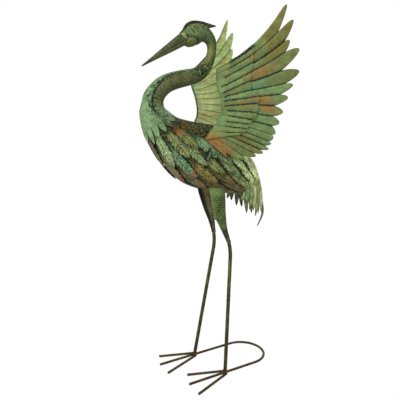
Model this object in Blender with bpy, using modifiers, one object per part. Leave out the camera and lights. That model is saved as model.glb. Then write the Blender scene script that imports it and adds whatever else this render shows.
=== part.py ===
"""Garden heron in patinated sheet steel, with raised wings and wire legs.

Metres, +Z up. The bird looks along -X and its left side is -Y.
"""

import math

import bmesh
import bpy
import numpy as np
from mathutils import Matrix, Vector

# Stock: sheet, rods and the clearance that touching pieces keep
SHEET = 0.0012
WING_SHEET = 0.0016
LEG_ROD = 0.0115
FOOT_ROD = 0.0080
TIE_ROD = 0.0040
GAP = 0.0004
ROD_SIDES = 8

# Trunk: breast or belly point (x, z), back point (x, z) and half width, from the neck to the tail
TRUNK = (
    (-0.222, 0.816, -0.150, 0.820, 0.035),
    (-0.216, 0.786, -0.118, 0.799, 0.043),
    (-0.201, 0.744, -0.075, 0.787, 0.051),
    (-0.175, 0.698, -0.030, 0.779, 0.057),
    (-0.139, 0.651, 0.016, 0.771, 0.059),
    (-0.094, 0.615, 0.060, 0.745, 0.059),
    (-0.046, 0.595, 0.101, 0.712, 0.057),
    (0.005, 0.581, 0.133, 0.680, 0.052),
    (0.054, 0.570, 0.156, 0.647, 0.045),
    (0.093, 0.562, 0.170, 0.610, 0.035),
    (0.120, 0.559, 0.170, 0.584, 0.021),
)
TRUNK_TAPER = 0.22
TRUNK_START = 0.14
TRUNK_RINGS = 14
TRUNK_COLUMNS = 20

# Neck and head: centre (x, z) and radius, from the beak's seam to the top of the breast
NECK = (
    (-0.0925, 1.0090, 0.0165),
    (-0.0768, 1.0150, 0.0236),
    (-0.0550, 1.0250, 0.0290),
    (-0.0290, 1.0300, 0.0240),
    (-0.0105, 1.0215, 0.0192),
    (0.0012, 1.0070, 0.0158),
    (0.0040, 0.9870, 0.0138),
    (-0.0005, 0.9670, 0.0140),
    (-0.0110, 0.9460, 0.0168),
    (-0.0290, 0.9265, 0.0205),
    (-0.0530, 0.9130, 0.0218),
    (-0.0850, 0.9060, 0.0234),
    (-0.1190, 0.8980, 0.0244),
    (-0.1460, 0.8880, 0.0255),
    (-0.1670, 0.8730, 0.0270),
    (-0.1825, 0.8540, 0.0293),
    (-0.1870, 0.8340, 0.0322),
)
NECK_FLATNESS = 0.90
NECK_COLUMNS = 20

# Collar: the neck sheet's jagged hem, in trunk stations at the breast, the side and the back
COLLAR_HEM = (2.05, 1.60, 0.55)
COLLAR_JAG = 0.48
COLLAR_LIFT = 0.0060

# Beak and crest
BEAK_TIP = (-0.2178, 0.9330)
BEAK_BASE_RADIUS = 0.0172
BEAK_TIP_RADIUS = 0.0016
CREST_STATIONS = (0.20, 1.0, 2.0, 3.0, 3.4)
CREST_TIP = (0.0171, 1.0545)
CREST_HEIGHT = 0.0082
CREST_WIDTH = 0.0060

# Leaf feathers: rows of pointed leaves that overlap like tiles
LEAF_ROWS = (
    (1.35, 7, 84.0),
    (2.60, 7, 80.0),
    (3.85, 8, 70.0),
    (5.10, 9, 38.0),
    (6.35, 9, 14.0),
    (7.60, 8, 8.0),
)
LEAF_LENGTH = 2.4
LEAF_NOTCH = 0.45
LEAF_SLANT = 0.30
LEAF_TIP_LIFT = 0.0066
LEAF_ROOT_LIFT = 0.0008
LEAF_RIB = 0.0010

# Wings: cupped surface |y| = root + slopes - bends, measured from the middle of the root edge
WING_ROOT = (-0.0072, 0.8226)
WING_HALF_SPREAD = 0.0652
WING_SLOPE = (0.33, 0.14)
WING_BEND = (0.25, 0.10)
WING_FLARE = 0.31
WING_FLARE_TOP = 0.80
WING_FLARE_REACH = 0.13
FEATHER_RELIEF = 0.0009

# Root edge of the wing, top to bottom
WING_ROOT_EDGE = (
    (-0.027, 0.928),
    (-0.024, 0.888),
    (-0.011, 0.853),
    (-0.006, 0.815),
    (-0.0165, 0.784),
    (-0.039, 0.7555),
    (-0.054, 0.735),
)
# Tip of each flight feather from the leading one down, and the notch below each
FLIGHT_TIPS = (
    (0.156, 1.100), (0.178, 1.063), (0.174, 1.006), (0.206, 0.984), (0.213, 0.927), (0.198, 0.886),
    (0.187, 0.850), (0.177, 0.811), (0.170, 0.780), (0.162, 0.751), (0.157, 0.734), (0.152, 0.717),
    (0.147, 0.701), (0.129, 0.689), (0.106, 0.680), (0.073, 0.671), (0.014, 0.683),
)
FLIGHT_NOTCHES = (
    (0.137, 1.027), (0.161, 1.007), (0.165, 0.978), (0.160, 0.928), (0.176, 0.892), (0.164, 0.861),
    (0.150, 0.829), (0.149, 0.799), (0.150, 0.771), (0.151, 0.745), (0.144, 0.724), (0.133, 0.712),
    (0.122, 0.701), (0.101, 0.692), (0.067, 0.685), (0.0125, 0.696),
)
COVERT_TIPS = (
    (0.066, 0.986), (0.066, 0.968), (0.066, 0.946), (0.065, 0.921), (0.064, 0.897), (0.069, 0.872),
    (0.096, 0.856), (0.092, 0.836), (0.094, 0.810), (0.082, 0.790), (0.073, 0.777), (0.066, 0.764),
    (0.056, 0.752), (0.038, 0.744),
)
FEATHER_WAIST = 0.42
FEATHER_SHOULDER = 0.16
FAN_MARGIN = 0.90
FLIGHT_BOW = 0.075
FLIGHT_BOW_FADE = 2.4
COVERT_BOW = 0.030
COVERT_NOTCH = 0.14
COVERT_CLEARANCE = 0.0012

# Wing fixing: a flat tab on the wing's root that drops into a sleeve on the trunk
SLEEVE_STATION, SLEEVE_ANGLE = 4.42, 96.0
SLEEVE_WIDTH, SLEEVE_HEIGHT, SLEEVE_DEPTH = 0.016, 0.028, 0.0062
SLEEVE_WALL = 0.0014
SLEEVE_LEAN = 28.0
TAB_THICKNESS = 0.0016
TAB_HOLD = 0.018
TAB_CLEARANCE = 0.0006
TAB_NECK = 0.0056
# Tab above the sleeve: (x, z) in side view and the step outwards once it is below the wing
TAB_GRIP = ((-0.014, 0.772, 0.0), (-0.030, 0.744, 0.0), (-0.0360, 0.7195, 0.0006))

# Thighs: centre (x, y, z) and half length along X of the folded sheet, top to bottom
LEFT_THIGH = (
    (-0.003, -0.023, 0.622, 0.0270),
    (0.005, -0.034, 0.576, 0.0258),
    (0.0065, -0.045, 0.513, 0.0205),
    (0.0180, -0.048, 0.470, 0.0120),
    (0.0310, -0.051, 0.433, 0.0078),
    (0.0350, -0.052, 0.422, 0.0070),
)
RIGHT_THIGH = (
    (-0.004, 0.023, 0.622, 0.0270),
    (0.004, 0.034, 0.576, 0.0258),
    (0.0240, 0.045, 0.515, 0.0195),
    (0.0350, 0.048, 0.475, 0.0120),
    (0.0440, 0.050, 0.440, 0.0078),
    (0.0465, 0.051, 0.429, 0.0070),
)
THIGH_FLATNESS = (0.95, 0.50)
THIGH_CREASE = 0.30
THIGH_COLUMNS = 16
TIE_HEIGHT = 0.482

# Legs and feet
STANCE = 0.1466
STRIDE = 0.0250
LEFT_KNEE = (0.0410, -0.054, 0.392)
RIGHT_KNEE = (0.0520, 0.054, 0.394)
KNEE_ROUNDING = 0.022
MIDDLE_TOE = 0.1300
LEFTWARD_TOE = 0.1430
RIGHTWARD_TOE = 0.1200
TOE_SPREAD = 23.8
LOOP_END = 0.2080
LOOP_STEPS = 14

# Tail: narrow strips that hang from the rump, by trunk angle, tip (x, |y|, z) and turn in plan
TAIL_STRIPS = (
    (124.0, 0.088, 0.036, 0.537, 6.0),
    (108.0, 0.108, 0.037, 0.522, 12.0),
    (90.0, 0.130, 0.034, 0.505, 22.0),
    (72.0, 0.150, 0.027, 0.489, 38.0),
    (52.0, 0.164, 0.017, 0.477, 58.0),
)
TAIL_STRIP_START = 8.9
TAIL_STRIP_WIDTH = 0.0100
TAIL_STRIP_SHAPE = ((0.0, 1.0), (0.45, 1.0), (0.85, 0.85), (1.0, 0.12))
TAIL_BULGE = np.array([0.004, 0.003, 0.004])
TAIL_LIFT = 0.0120
TAIL_CURL = (
    (0.1780, 0.606), (0.1850, 0.575), (0.1935, 0.540), (0.2020, 0.508), (0.2040, 0.484),
    (0.1960, 0.462), (0.1835, 0.442),
)
TAIL_CURL_WIDTH = 0.0070

# Colour, roughness and metallic value of each finish
VERDIGRIS = ((0.30, 0.42, 0.27), 0.58, 0.55)
LEAF_GREEN = ((0.27, 0.31, 0.19), 0.60, 0.55)
DARK_BACK = ((0.15, 0.15, 0.09), 0.62, 0.55)
OLIVE = ((0.23, 0.25, 0.11), 0.52, 0.55)
BROWN_ROD = ((0.20, 0.17, 0.09), 0.55, 0.60)
BLACK_BROWN = ((0.06, 0.05, 0.03), 0.55, 0.50)


def clear_scene():
    for item in list(bpy.data.objects):
        bpy.data.objects.remove(item)


def new_collection(name):
    collection = bpy.data.collections.new(name)
    bpy.context.scene.collection.children.link(collection)
    return collection


def finish(item, look):
    """Give an object a material of its own."""
    colour, roughness, metallic = look
    material = bpy.data.materials.new(item.name)
    material.use_nodes = True
    shader = material.node_tree.nodes["Principled BSDF"]
    shader.inputs["Base Color"].default_value = (*colour, 1.0)
    shader.inputs["Roughness"].default_value = roughness
    shader.inputs["Metallic"].default_value = metallic
    material.diffuse_color = (*colour, 1.0)
    item.data.materials.append(material)


def add_object(name, data, look=None, collection=None):
    item = bpy.data.objects.new(name, data)
    (collection or PIECES).objects.link(item)
    if look:
        finish(item, look)
    return item


def smooth(mesh, degrees=35.0):
    mesh.shade_smooth()
    mesh.set_sharp_from_angle(angle=math.radians(degrees))


def through(points, stations):
    """Smooth curve through rows of numbers, read at fractional row numbers."""
    points = np.asarray(points, float)
    stations = np.clip(np.asarray(stations, float), 0.0, len(points) - 1.0)
    before = 2 * points[0] - points[1]
    after = 2 * points[-1] - points[-2]
    padded = np.vstack([before, points, after])
    first = np.minimum(stations.astype(int), len(points) - 2)
    t = (stations - first)[..., None]
    a, b, c, d = (padded[first + step] for step in range(4))
    return 0.5 * (2 * b + (c - a) * t + (2 * a - 5 * b + 4 * c - d) * t**2 + (3 * b - a - 3 * c + d) * t**3)


def trunk_points(stations, angles, lift):
    """Points above the trunk's skin. Angle 0 is the back, half a turn the breast, and +Y lies between."""
    stations, angles, lift = np.broadcast_arrays(stations, angles, lift)
    rows = through(TRUNK, stations)
    half = (rows[..., 2:4] - rows[..., 0:2]) / 2
    centre = rows[..., 0:2] + half
    length = np.linalg.norm(half, axis=-1)
    up = half / length[..., None]
    across = rows[..., 4]
    c, s = np.cos(angles), np.sin(angles)
    normal_up, normal_side = c / length, s / across
    size = np.hypot(normal_up, normal_side)
    in_plane = length * c + lift * normal_up / size
    side = across * s * (1 - TRUNK_TAPER * c) + lift * normal_side / size
    points = centre + up * in_plane[..., None]
    return np.stack([points[..., 0], side, points[..., 1]], axis=-1)


def even_angles(station, start, count):
    """Angles that divide the trunk's girth evenly between start and its mirror angle."""
    fine = np.linspace(start, 2 * math.pi - start, 721)
    points = trunk_points(station, fine, 0.0)
    steps = np.linalg.norm(np.diff(points, axis=0), axis=1)
    length = np.concatenate([[0.0], np.cumsum(steps)])
    return np.interp(np.linspace(0, length[-1], count), length, fine)


def mesh_object(name, points, faces, look, collection=None):
    mesh = bpy.data.meshes.new(name)
    mesh.from_pydata([tuple(point) for point in points], [], faces)
    return add_object(name, mesh, look, collection)


def loft(name, rings, look, collection=None):
    """Closed solid through rings of equal count, capped at both ends."""
    rings = np.asarray(rings, float)
    rows, columns = rings.shape[:2]
    faces = []
    for row in range(rows - 1):
        for column in range(columns):
            beside = (column + 1) % columns
            faces.append((row * columns + column, row * columns + beside,
                          (row + 1) * columns + beside, (row + 1) * columns + column))
    faces.append(tuple(range(columns)))
    faces.append(tuple((rows - 1) * columns + column for column in range(columns)))
    item = mesh_object(name, rings.reshape(-1, 3), faces, look, collection)
    outward(item.data)
    smooth(item.data)
    return item


def outward(mesh):
    shape = bmesh.new()
    shape.from_mesh(mesh)
    bmesh.ops.recalc_face_normals(shape, faces=shape.faces)
    shape.to_mesh(mesh)
    shape.free()


def sheet(name, grid, thickness, offset, look, flip=False):
    """Sheet metal from a grid of points, thickened by Solidify. Offset 1 grows it outwards only."""
    rows, columns = grid.shape[:2]
    points = grid.reshape(-1, 3)
    faces = []
    for row in range(rows - 1):
        for column in range(columns - 1):
            a = row * columns + column
            b, c, d = a + columns, a + columns + 1, a + 1
            if np.linalg.norm(points[a] - points[c]) < np.linalg.norm(points[b] - points[d]):
                halves = ((a, b, c), (a, c, d))
            else:
                halves = ((a, b, d), (b, c, d))
            faces.extend(half[::-1] if flip else half for half in halves)
    item = mesh_object(name, points, faces, look)
    smooth(item.data)
    wall = item.modifiers.new("sheet", "SOLIDIFY")
    wall.thickness = thickness
    wall.offset = offset
    return item


def rod(name, points, diameter, look, collection=None):
    """Round bar along a path, with a flat facet turned down."""
    curve = bpy.data.curves.new(name, "CURVE")
    curve.dimensions = "3D"
    curve.bevel_depth = diameter / 2
    curve.bevel_resolution = 2
    curve.use_fill_caps = True
    spline = curve.splines.new("POLY")
    spline.points.add(len(points) - 1)
    for point, place in zip(spline.points, points):
        point.co = (*place, 1.0)
        point.tilt = math.pi / ROD_SIDES
    spline.use_smooth = True
    return add_object(name, curve, look, collection)


def flat_radius(diameter):
    """Height of a bar's centre over its flat facet."""
    return diameter / 2 * math.cos(math.pi / ROD_SIDES)


def build_trunk():
    angles = np.linspace(0, 2 * math.pi, TRUNK_COLUMNS, endpoint=False)
    stations = np.linspace(TRUNK_START, len(TRUNK) - 1, TRUNK_RINGS)
    rings = [trunk_points(station, angles, 0.0) for station in stations]
    loft("trunk", rings, DARK_BACK)


def neck_ring(station, angles, lift=0.0):
    """Ring round the neck, square to it. Angle 0 is the crown, then the nape of the bent neck."""
    step = 0.05
    x, z, radius = through(NECK, station)
    ahead = through(NECK, min(station + step, len(NECK) - 1))
    behind = through(NECK, station - step) if station else np.array(BEAK_TIP)
    if not station:
        ahead = np.array([x, z])
    along = Vector((ahead[0] - behind[0], ahead[1] - behind[1])).normalized()
    up = np.array([-along.y, along.x])
    reach = radius + lift
    c, s = np.cos(angles), np.sin(angles)
    return np.stack([x + up[0] * reach * c, reach * NECK_FLATNESS * s, z + up[1] * reach * c], axis=-1)


def collar_hem(angles):
    """Trunk station of the collar's hem at each angle, with a jag on every second column."""
    breast, side, back = COLLAR_HEM
    c = np.cos(angles)
    hem = np.where(c < 0, side + (breast - side) * -c, side + (back - side) * c)
    jag = np.where(np.arange(len(angles)) % 2 == 0, 0.5, -0.5)
    return hem + COLLAR_JAG * jag


def build_neck():
    angles = np.linspace(0, 2 * math.pi, NECK_COLUMNS, endpoint=False)
    rings = [neck_ring(station, angles) for station in range(len(NECK))]
    hem = collar_hem(angles)
    shares = (0.0, 0.35, 0.7, 1.0)
    for share in shares:
        lift = GAP + COLLAR_LIFT * share + SHEET
        rings.append(trunk_points(hem * share, angles, lift))
    for share in shares[:0:-1]:
        rings.append(trunk_points(hem * share, angles, GAP + COLLAR_LIFT * share))
    rings.append(trunk_points(0.05, angles, GAP))
    loft("neck_and_head", rings, VERDIGRIS)


def build_beak():
    seat = np.array(NECK[0][:2])
    along = np.array(BEAK_TIP) - seat
    length = float(np.linalg.norm(along))
    along = along / length
    bpy.ops.mesh.primitive_cone_add(
        vertices=12, radius1=BEAK_BASE_RADIUS, radius2=BEAK_TIP_RADIUS, depth=length - 2 * GAP)
    beak = bpy.context.object
    beak.name = "beak"
    beak.data.name = "beak"
    for collection in list(beak.users_collection):
        collection.objects.unlink(beak)
    PIECES.objects.link(beak)
    finish(beak, OLIVE)
    middle = seat + along * (length / 2 + GAP)
    beak.location = (middle[0], 0.0, middle[1])
    beak.rotation_mode = "QUATERNION"
    beak.rotation_quaternion = Vector((along[0], 0.0, along[1])).to_track_quat("Z", "Y")
    smooth(beak.data, 50.0)


def build_crest():
    """Plume on the crown: a bar that follows the head and runs on to a point behind it."""
    crown = []
    for station in CREST_STATIONS:
        foot = neck_ring(station, np.array([0.0]), 2 * GAP)[0]
        top = neck_ring(station, np.array([0.0]), 2 * GAP + CREST_HEIGHT)[0]
        crown.append((foot, top))
    tip = np.array([CREST_TIP[0], 0.0, CREST_TIP[1]])
    foot, top = crown[-1]
    rise = np.array([0.0, 0.0, CREST_HEIGHT])
    crown.append((foot * 0.5 + tip * 0.5 + rise * 0.15, top * 0.5 + tip * 0.5 + rise * 0.45))
    crown.append((tip, tip + rise * 0.25))
    widths = np.interp(np.arange(len(crown)), (0, 2, len(crown) - 2, len(crown) - 1), (0.3, 1.0, 0.8, 0.25))
    heights = np.interp(np.arange(len(crown)), (0, 2, len(crown) - 1), (0.70, 1.0, 1.0))
    rings = []
    for (foot, top), width, height in zip(crown, widths, heights):
        top = foot + (top - foot) * height
        side = np.array([0.0, CREST_WIDTH / 2 * width, 0.0])
        middle = foot + (top - foot) * 0.45
        rings.append((foot, middle + side, top, middle - side))
    loft("crest", rings, BLACK_BROWN)


def build_leaf_row(number, root, leaves, edge):
    """One row of pointed leaves in a strip that goes round the belly from flank to flank."""
    profile = ((0.0, LEAF_NOTCH, 0.0), (0.27, 0.86, 0.25), (0.5, 1.0, 1.0), (0.73, 0.86, 0.25))
    start = math.radians(edge)
    girth = even_angles(root + LEAF_LENGTH / 2, start, leaves * 100 + 1)
    columns = []
    for leaf in range(leaves):
        for share, reach, rib in profile:
            columns.append((girth[leaf * 100 + round(share * 100)], reach, rib))
    columns.append((girth[-1], LEAF_NOTCH, 0.0))
    angles, reaches, ribs = (np.array(values) for values in zip(*columns))
    roots = root + LEAF_SLANT * np.maximum(0.0, -np.cos(angles))
    last = len(TRUNK) - 1.0
    rows = []
    for share in (0.0, 0.33, 0.67, 1.0):
        stations = np.minimum(roots + LEAF_LENGTH * reaches * share, last)
        lift = LEAF_ROOT_LIFT + LEAF_TIP_LIFT * reaches * share + LEAF_RIB * ribs * min(1.0, 2 * share)
        rows.append(trunk_points(stations, angles, lift))
    sheet(f"leaf_row_{number}", np.array(rows), SHEET, 1.0, LEAF_GREEN)


def wing_spread(x, z):
    """Half spread |y| of the wing's middle surface over a side-view point."""
    dx, dz = x - WING_ROOT[0], z - WING_ROOT[1]
    flare = WING_FLARE * np.maximum(0.0, WING_FLARE_TOP - z)
    flare = flare * np.clip(1 - (x - WING_ROOT_EDGE[-1][0]) / WING_FLARE_REACH, 0.0, 1.0)
    bend = WING_BEND[0] * dx**2 + WING_BEND[1] * dz**2
    return WING_HALF_SPREAD + WING_SLOPE[0] * dx + WING_SLOPE[1] * dz - bend + flare


def bowed(start, end, bow, shares):
    """Points from start to end in side view, bowed to one side by a share of the length."""
    run = end - start
    aside = np.array([run[1], -run[0]])
    shares = np.asarray(shares)[:, None]
    return start + run * shares + aside * bow * 4 * shares * (1 - shares)


def fan(tips, notches, root_edge, bow, shares):
    """Side-view grid of a feather fan: four columns a feather, out to its notches and its tip."""
    count = len(tips)
    tips, notches = np.array(tips), np.array(notches)
    ends, starts, ribs = [], [], []
    for index in range(count):
        above = notches[index - 1] if index else root_edge[0] + (tips[0] - root_edge[0]) * FAN_MARGIN
        last_edge = root_edge[-1] + (tips[-1] - root_edge[-1]) * FAN_MARGIN
        below = notches[index] if index < count - 1 else last_edge
        tip = tips[index]
        shoulder = (below - above) * FEATHER_SHOULDER
        upper = tip + (above - tip) * FEATHER_WAIST - shoulder
        lower = tip + (below - tip) * FEATHER_WAIST + shoulder
        ends.extend((above, upper, tip, lower))
        starts.extend((index + part / 4) / count for part in range(4))
        ribs.extend((-1.0, 0.0, 1.0, 0.0))
    ends.append(below)
    starts.append(1.0)
    ribs.append(-1.0)
    roots = through(root_edge, np.array(starts) * (len(root_edge) - 1))
    grid = []
    for root, end, start in zip(roots, ends, starts):
        bend = bow * max(0.0, 1 - FLIGHT_BOW_FADE * start)
        grid.append(bowed(root, end, bend, shares))
    return np.array(grid).transpose(1, 0, 2), np.array(ribs)


def wing_grid(side, flat, ribs, lift):
    """Lay a side-view grid on the cupped wing surface of one side."""
    shares = np.linspace(0, 1, flat.shape[0])[:, None]
    relief = FEATHER_RELIEF * ribs[None, :] * np.minimum(1.0, 3 * shares)
    spread = wing_spread(flat[..., 0], flat[..., 1]) + relief + lift
    return np.stack([flat[..., 0], side * spread, flat[..., 1]], axis=-1)


def build_wing(label, side):
    root_edge = np.array(WING_ROOT_EDGE)
    flat, ribs = fan(FLIGHT_TIPS, FLIGHT_NOTCHES, root_edge, FLIGHT_BOW, (0.0, 0.45, 0.8, 1.0))
    sheet(f"{label}_flight_feathers", wing_grid(side, flat, ribs, 0.0), WING_SHEET, 0.0, VERDIGRIS,
          flip=side < 0)
    tips = np.array(COVERT_TIPS)
    covert_root = root_edge + [0.0006, 0.0]
    middles = (tips[:-1] + tips[1:]) / 2
    root_stations = np.linspace(0, len(root_edge) - 1, len(tips) + 1)[1:-1]
    notches = middles * (1 - COVERT_NOTCH) + through(root_edge, root_stations) * COVERT_NOTCH
    flat, ribs = fan(tips, notches, covert_root, COVERT_BOW, (0.0, 0.5, 1.0))
    lift = WING_SHEET / 2 + 2 * FEATHER_RELIEF + COVERT_CLEARANCE
    sheet(f"{label}_coverts", wing_grid(side, flat, ribs, lift), SHEET, 1.0, VERDIGRIS, flip=side < 0)


def sleeve_frame(side):
    """Place of a wing sleeve: its back face lies on the leaves, turned with the trunk's skin."""
    angle = math.radians(SLEEVE_ANGLE)
    lift = LEAF_ROOT_LIFT + LEAF_TIP_LIFT + LEAF_RIB + SHEET + GAP
    seat = Vector(trunk_points(SLEEVE_STATION, angle, lift))
    seat.y *= side
    outward_axis = Vector((0.0, side, 0.0))
    lean = math.radians(SLEEVE_LEAN)
    up = Vector((math.sin(lean), 0.0, math.cos(lean)))
    across = up.cross(outward_axis)
    turn = Matrix((across, outward_axis, up)).transposed()
    return seat, turn


def box(name, size, look=None, collection=None):
    mesh = bpy.data.meshes.new(name)
    shape = bmesh.new()
    bmesh.ops.create_cube(shape, size=1.0, matrix=Matrix.Diagonal((*size, 1.0)))
    shape.to_mesh(mesh)
    shape.free()
    return add_object(name, mesh, look, collection)


def subtract(item, cutter):
    cut = item.modifiers.new("cut", "BOOLEAN")
    cut.operation = "DIFFERENCE"
    cut.solver = "EXACT"
    cut.object = cutter
    cutter.hide_render = True
    cutter.display_type = "WIRE"


def build_wing_fixing(label, side):
    seat, turn = sleeve_frame(side)
    sleeve = box(f"{label}_wing_sleeve", (SLEEVE_WIDTH, SLEEVE_DEPTH, SLEEVE_HEIGHT), OLIVE)
    pocket = box(f"{label}_sleeve_pocket", (SLEEVE_WIDTH - 2 * SLEEVE_WALL, SLEEVE_DEPTH - 2 * SLEEVE_WALL,
                                            SLEEVE_HEIGHT), None, CUTTERS)
    rotation = turn.to_quaternion()
    middle = seat + turn @ Vector((0.0, SLEEVE_DEPTH / 2, 0.0))
    for item, rise in ((sleeve, 0.0), (pocket, SLEEVE_WALL)):
        item.location = middle + turn @ Vector((0.0, 0.0, rise))
        item.rotation_mode = "QUATERNION"
        item.rotation_quaternion = rotation
    subtract(sleeve, pocket)

    width = SLEEVE_WIDTH - 2 * SLEEVE_WALL - 2 * GAP
    grid = []
    for x, z, step in TAB_GRIP:
        inset = WING_SHEET / 2 + FEATHER_RELIEF + TAB_CLEARANCE + TAB_THICKNESS / 2 - step
        grid.append([(x + reach, side * (wing_spread(x + reach, z) - inset), z)
                     for reach in (TAB_NECK / 2, -TAB_NECK / 2)])
    mouth = SLEEVE_HEIGHT / 2
    for rise, wide in ((mouth, TAB_NECK), (mouth - TAB_NECK / 2, width), (mouth - TAB_HOLD, width)):
        point = middle + turn @ Vector((0.0, 0.0, rise))
        across = turn @ Vector((wide / 2, 0.0, 0.0))
        grid.append([tuple(point + across), tuple(point - across)])
    sheet(f"{label}_wing_tab", np.array(grid), TAB_THICKNESS, 0.0, BLACK_BROWN)


def flatness(sections, half):
    """Depth of a thigh section over its length, from the round mouth up to the flat hip."""
    return np.interp(half, (sections[-1][3], sections[0][3]), THIGH_FLATNESS)


def thigh_rings(sections):
    """Lens-shaped rings of the folded thigh sheet, with a crease at the front and back."""
    angles = np.linspace(0, 2 * math.pi, THIGH_COLUMNS, endpoint=False)
    c, s = np.cos(angles), np.sin(angles)
    rings = []
    for x, y, z, half in sections:
        across = half * flatness(sections, half) * s * (1 - THIGH_CREASE * c**2)
        rings.append(np.stack([x + half * c, y + across, np.full_like(c, z)], axis=-1))
    return rings


def build_thighs():
    angles = np.linspace(0, 2 * math.pi, TRUNK_COLUMNS, endpoint=False)
    lift = LEAF_ROOT_LIFT + LEAF_TIP_LIFT + LEAF_RIB + SHEET + 4 * GAP
    rings = [trunk_points(station, angles, lift) for station in np.linspace(2.5, 9.5, 14)]
    hips = loft("hip_cutter", rings, None, CUTTERS)
    for name, sections in (("left_thigh", LEFT_THIGH), ("right_thigh", RIGHT_THIGH)):
        subtract(loft(name, thigh_rings(sections), VERDIGRIS), hips)


def rounded_bend(start, corner, end, reach, steps=4):
    """Path with its corner replaced by a curve that starts and ends at reach from it."""
    start, corner, end = Vector(start), Vector(corner), Vector(end)
    first = corner + (start - corner).normalized() * reach
    last = corner + (end - corner).normalized() * reach
    path = [start]
    for step in range(steps + 1):
        t = step / steps
        path.append(first * (1 - t) ** 2 + corner * 2 * t * (1 - t) + last * t**2)
    path.append(end)
    return path


def build_leg(label, thigh, knee, heel):
    """Leg rod from the thigh's mouth, bent at the knee, down to the top of the foot rods."""
    mouth = Vector(thigh[-1][:3])
    down = (Vector(knee) - mouth).normalized()
    top = mouth + down * (GAP + LEG_ROD / 2 * math.hypot(down.x, down.y))
    lean = Vector((knee[0] - heel[0], knee[1] - heel[1])).length / knee[2]
    foot = Vector((heel[0], heel[1], 2 * flat_radius(FOOT_ROD) + GAP + LEG_ROD / 2 * lean))
    path = rounded_bend(top, knee, foot, KNEE_ROUNDING)
    rod(f"{label}_leg", path, LEG_ROD, BROWN_ROD)


def build_toes(label, side, heel):
    height = flat_radius(FOOT_ROD)
    beside = FOOT_ROD + GAP
    leftward, rightward = ("outer", "inner") if side < 0 else ("inner", "outer")
    toes = (("middle", MIDDLE_TOE, 0.0, 0.0), (leftward, LEFTWARD_TOE, -TOE_SPREAD, -beside),
            (rightward, RIGHTWARD_TOE, TOE_SPREAD, beside))
    for toe, length, spread, aside in toes:
        turn = math.radians(spread)
        root = Vector((heel[0], heel[1] + aside, height))
        tip = Vector((heel[0] - length * math.cos(turn), heel[1] + length * math.sin(turn), height))
        rod(f"{label}_{toe}_toe", [root, tip], FOOT_ROD, BLACK_BROWN)


def build_rear_loop(left_heel, right_heel):
    """U of rod on the ground from heel to heel, closed by a half circle behind the bird."""
    height = flat_radius(FOOT_ROD)
    radius = STANCE / 2
    centre = LOOP_END - radius - FOOT_ROD / 2
    path = [Vector((left_heel[0] + GAP, left_heel[1], height))]
    for step in range(LOOP_STEPS + 1):
        turn = math.pi * (step / LOOP_STEPS - 0.5)
        path.append(Vector((centre + radius * math.cos(turn), radius * math.sin(turn), height)))
    path.append(Vector((right_heel[0] + GAP, right_heel[1], height)))
    rod("rear_loop", path, FOOT_ROD, BLACK_BROWN)


def thigh_middle(sections, height):
    """Centre and half thickness of a thigh at a height."""
    rows = np.array(sections)[::-1]
    x, y, half = (np.interp(height, rows[:, 2], rows[:, column]) for column in (0, 1, 3))
    return Vector((x, y, height)), half * flatness(sections, half)


def build_tie():
    left, left_half = thigh_middle(LEFT_THIGH, TIE_HEIGHT)
    right, right_half = thigh_middle(RIGHT_THIGH, TIE_HEIGHT)
    along = (right - left).normalized()
    start = left + along * (left_half / abs(along.y) + TIE_ROD / 2)
    end = right - along * (right_half / abs(along.y) + TIE_ROD / 2)
    rod("thigh_tie", [start, end], TIE_ROD, BROWN_ROD)


def ribbon(name, path, widths, across, look):
    """Narrow strip along a path, tapering by its widths."""
    grid = []
    for point, width in zip(path, widths):
        aside = Vector(across) * width / 2
        grid.append([tuple(Vector(point) - aside), tuple(Vector(point) + aside)])
    return sheet(name, np.array(grid), SHEET, 0.0, look)


def build_tail():
    for side, label in ((-1, "left"), (1, "right")):
        for number, (degrees, x, y, z, turn) in enumerate(TAIL_STRIPS, 1):
            angle = math.radians(degrees)
            root = trunk_points(TAIL_STRIP_START, angle, TAIL_LIFT)
            tip = np.array([x, y, z])
            path = []
            for share, _ in TAIL_STRIP_SHAPE:
                point = root + (tip - root) * share + TAIL_BULGE * 4 * share * (1 - share)
                path.append(Vector((point[0], side * point[1], point[2])))
            plan = math.radians(turn)
            across = Vector((math.cos(plan), -side * math.sin(plan), 0.0))
            widths = [TAIL_STRIP_WIDTH * wide for _, wide in TAIL_STRIP_SHAPE]
            ribbon(f"{label}_tail_strip_{number}", path, widths, across, OLIVE)
    path = [Vector((x, 0.0, z)) for x, z in TAIL_CURL]
    widths = np.interp(np.arange(len(path)), (0, 3, len(path) - 1), (1.0, 0.9, 0.2)) * TAIL_CURL_WIDTH
    ribbon("tail_curl", path, widths, (0.0, 1.0, 0.0), BLACK_BROWN)


def stand_on_origin():
    """Parent every piece to an empty that brings the figure's bottom centre to the origin."""
    bpy.context.view_layer.update()
    graph = bpy.context.evaluated_depsgraph_get()
    corners = []
    for item in PIECES.objects:
        evaluated = item.evaluated_get(graph)
        mesh = evaluated.to_mesh()
        corners.extend(evaluated.matrix_world @ vertex.co for vertex in mesh.vertices)
        evaluated.to_mesh_clear()
    low = [min(corner[axis] for corner in corners) for axis in range(3)]
    high = [max(corner[axis] for corner in corners) for axis in range(3)]
    stand = bpy.data.objects.new("heron", None)
    PIECES.objects.link(stand)
    for item in list(PIECES.objects) + list(CUTTERS.objects):
        if item is not stand:
            item.parent = stand
    stand.location = (-(low[0] + high[0]) / 2, -(low[1] + high[1]) / 2, -low[2])


clear_scene()
PIECES = new_collection("garden_heron")
CUTTERS = new_collection("cutters")

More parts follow.
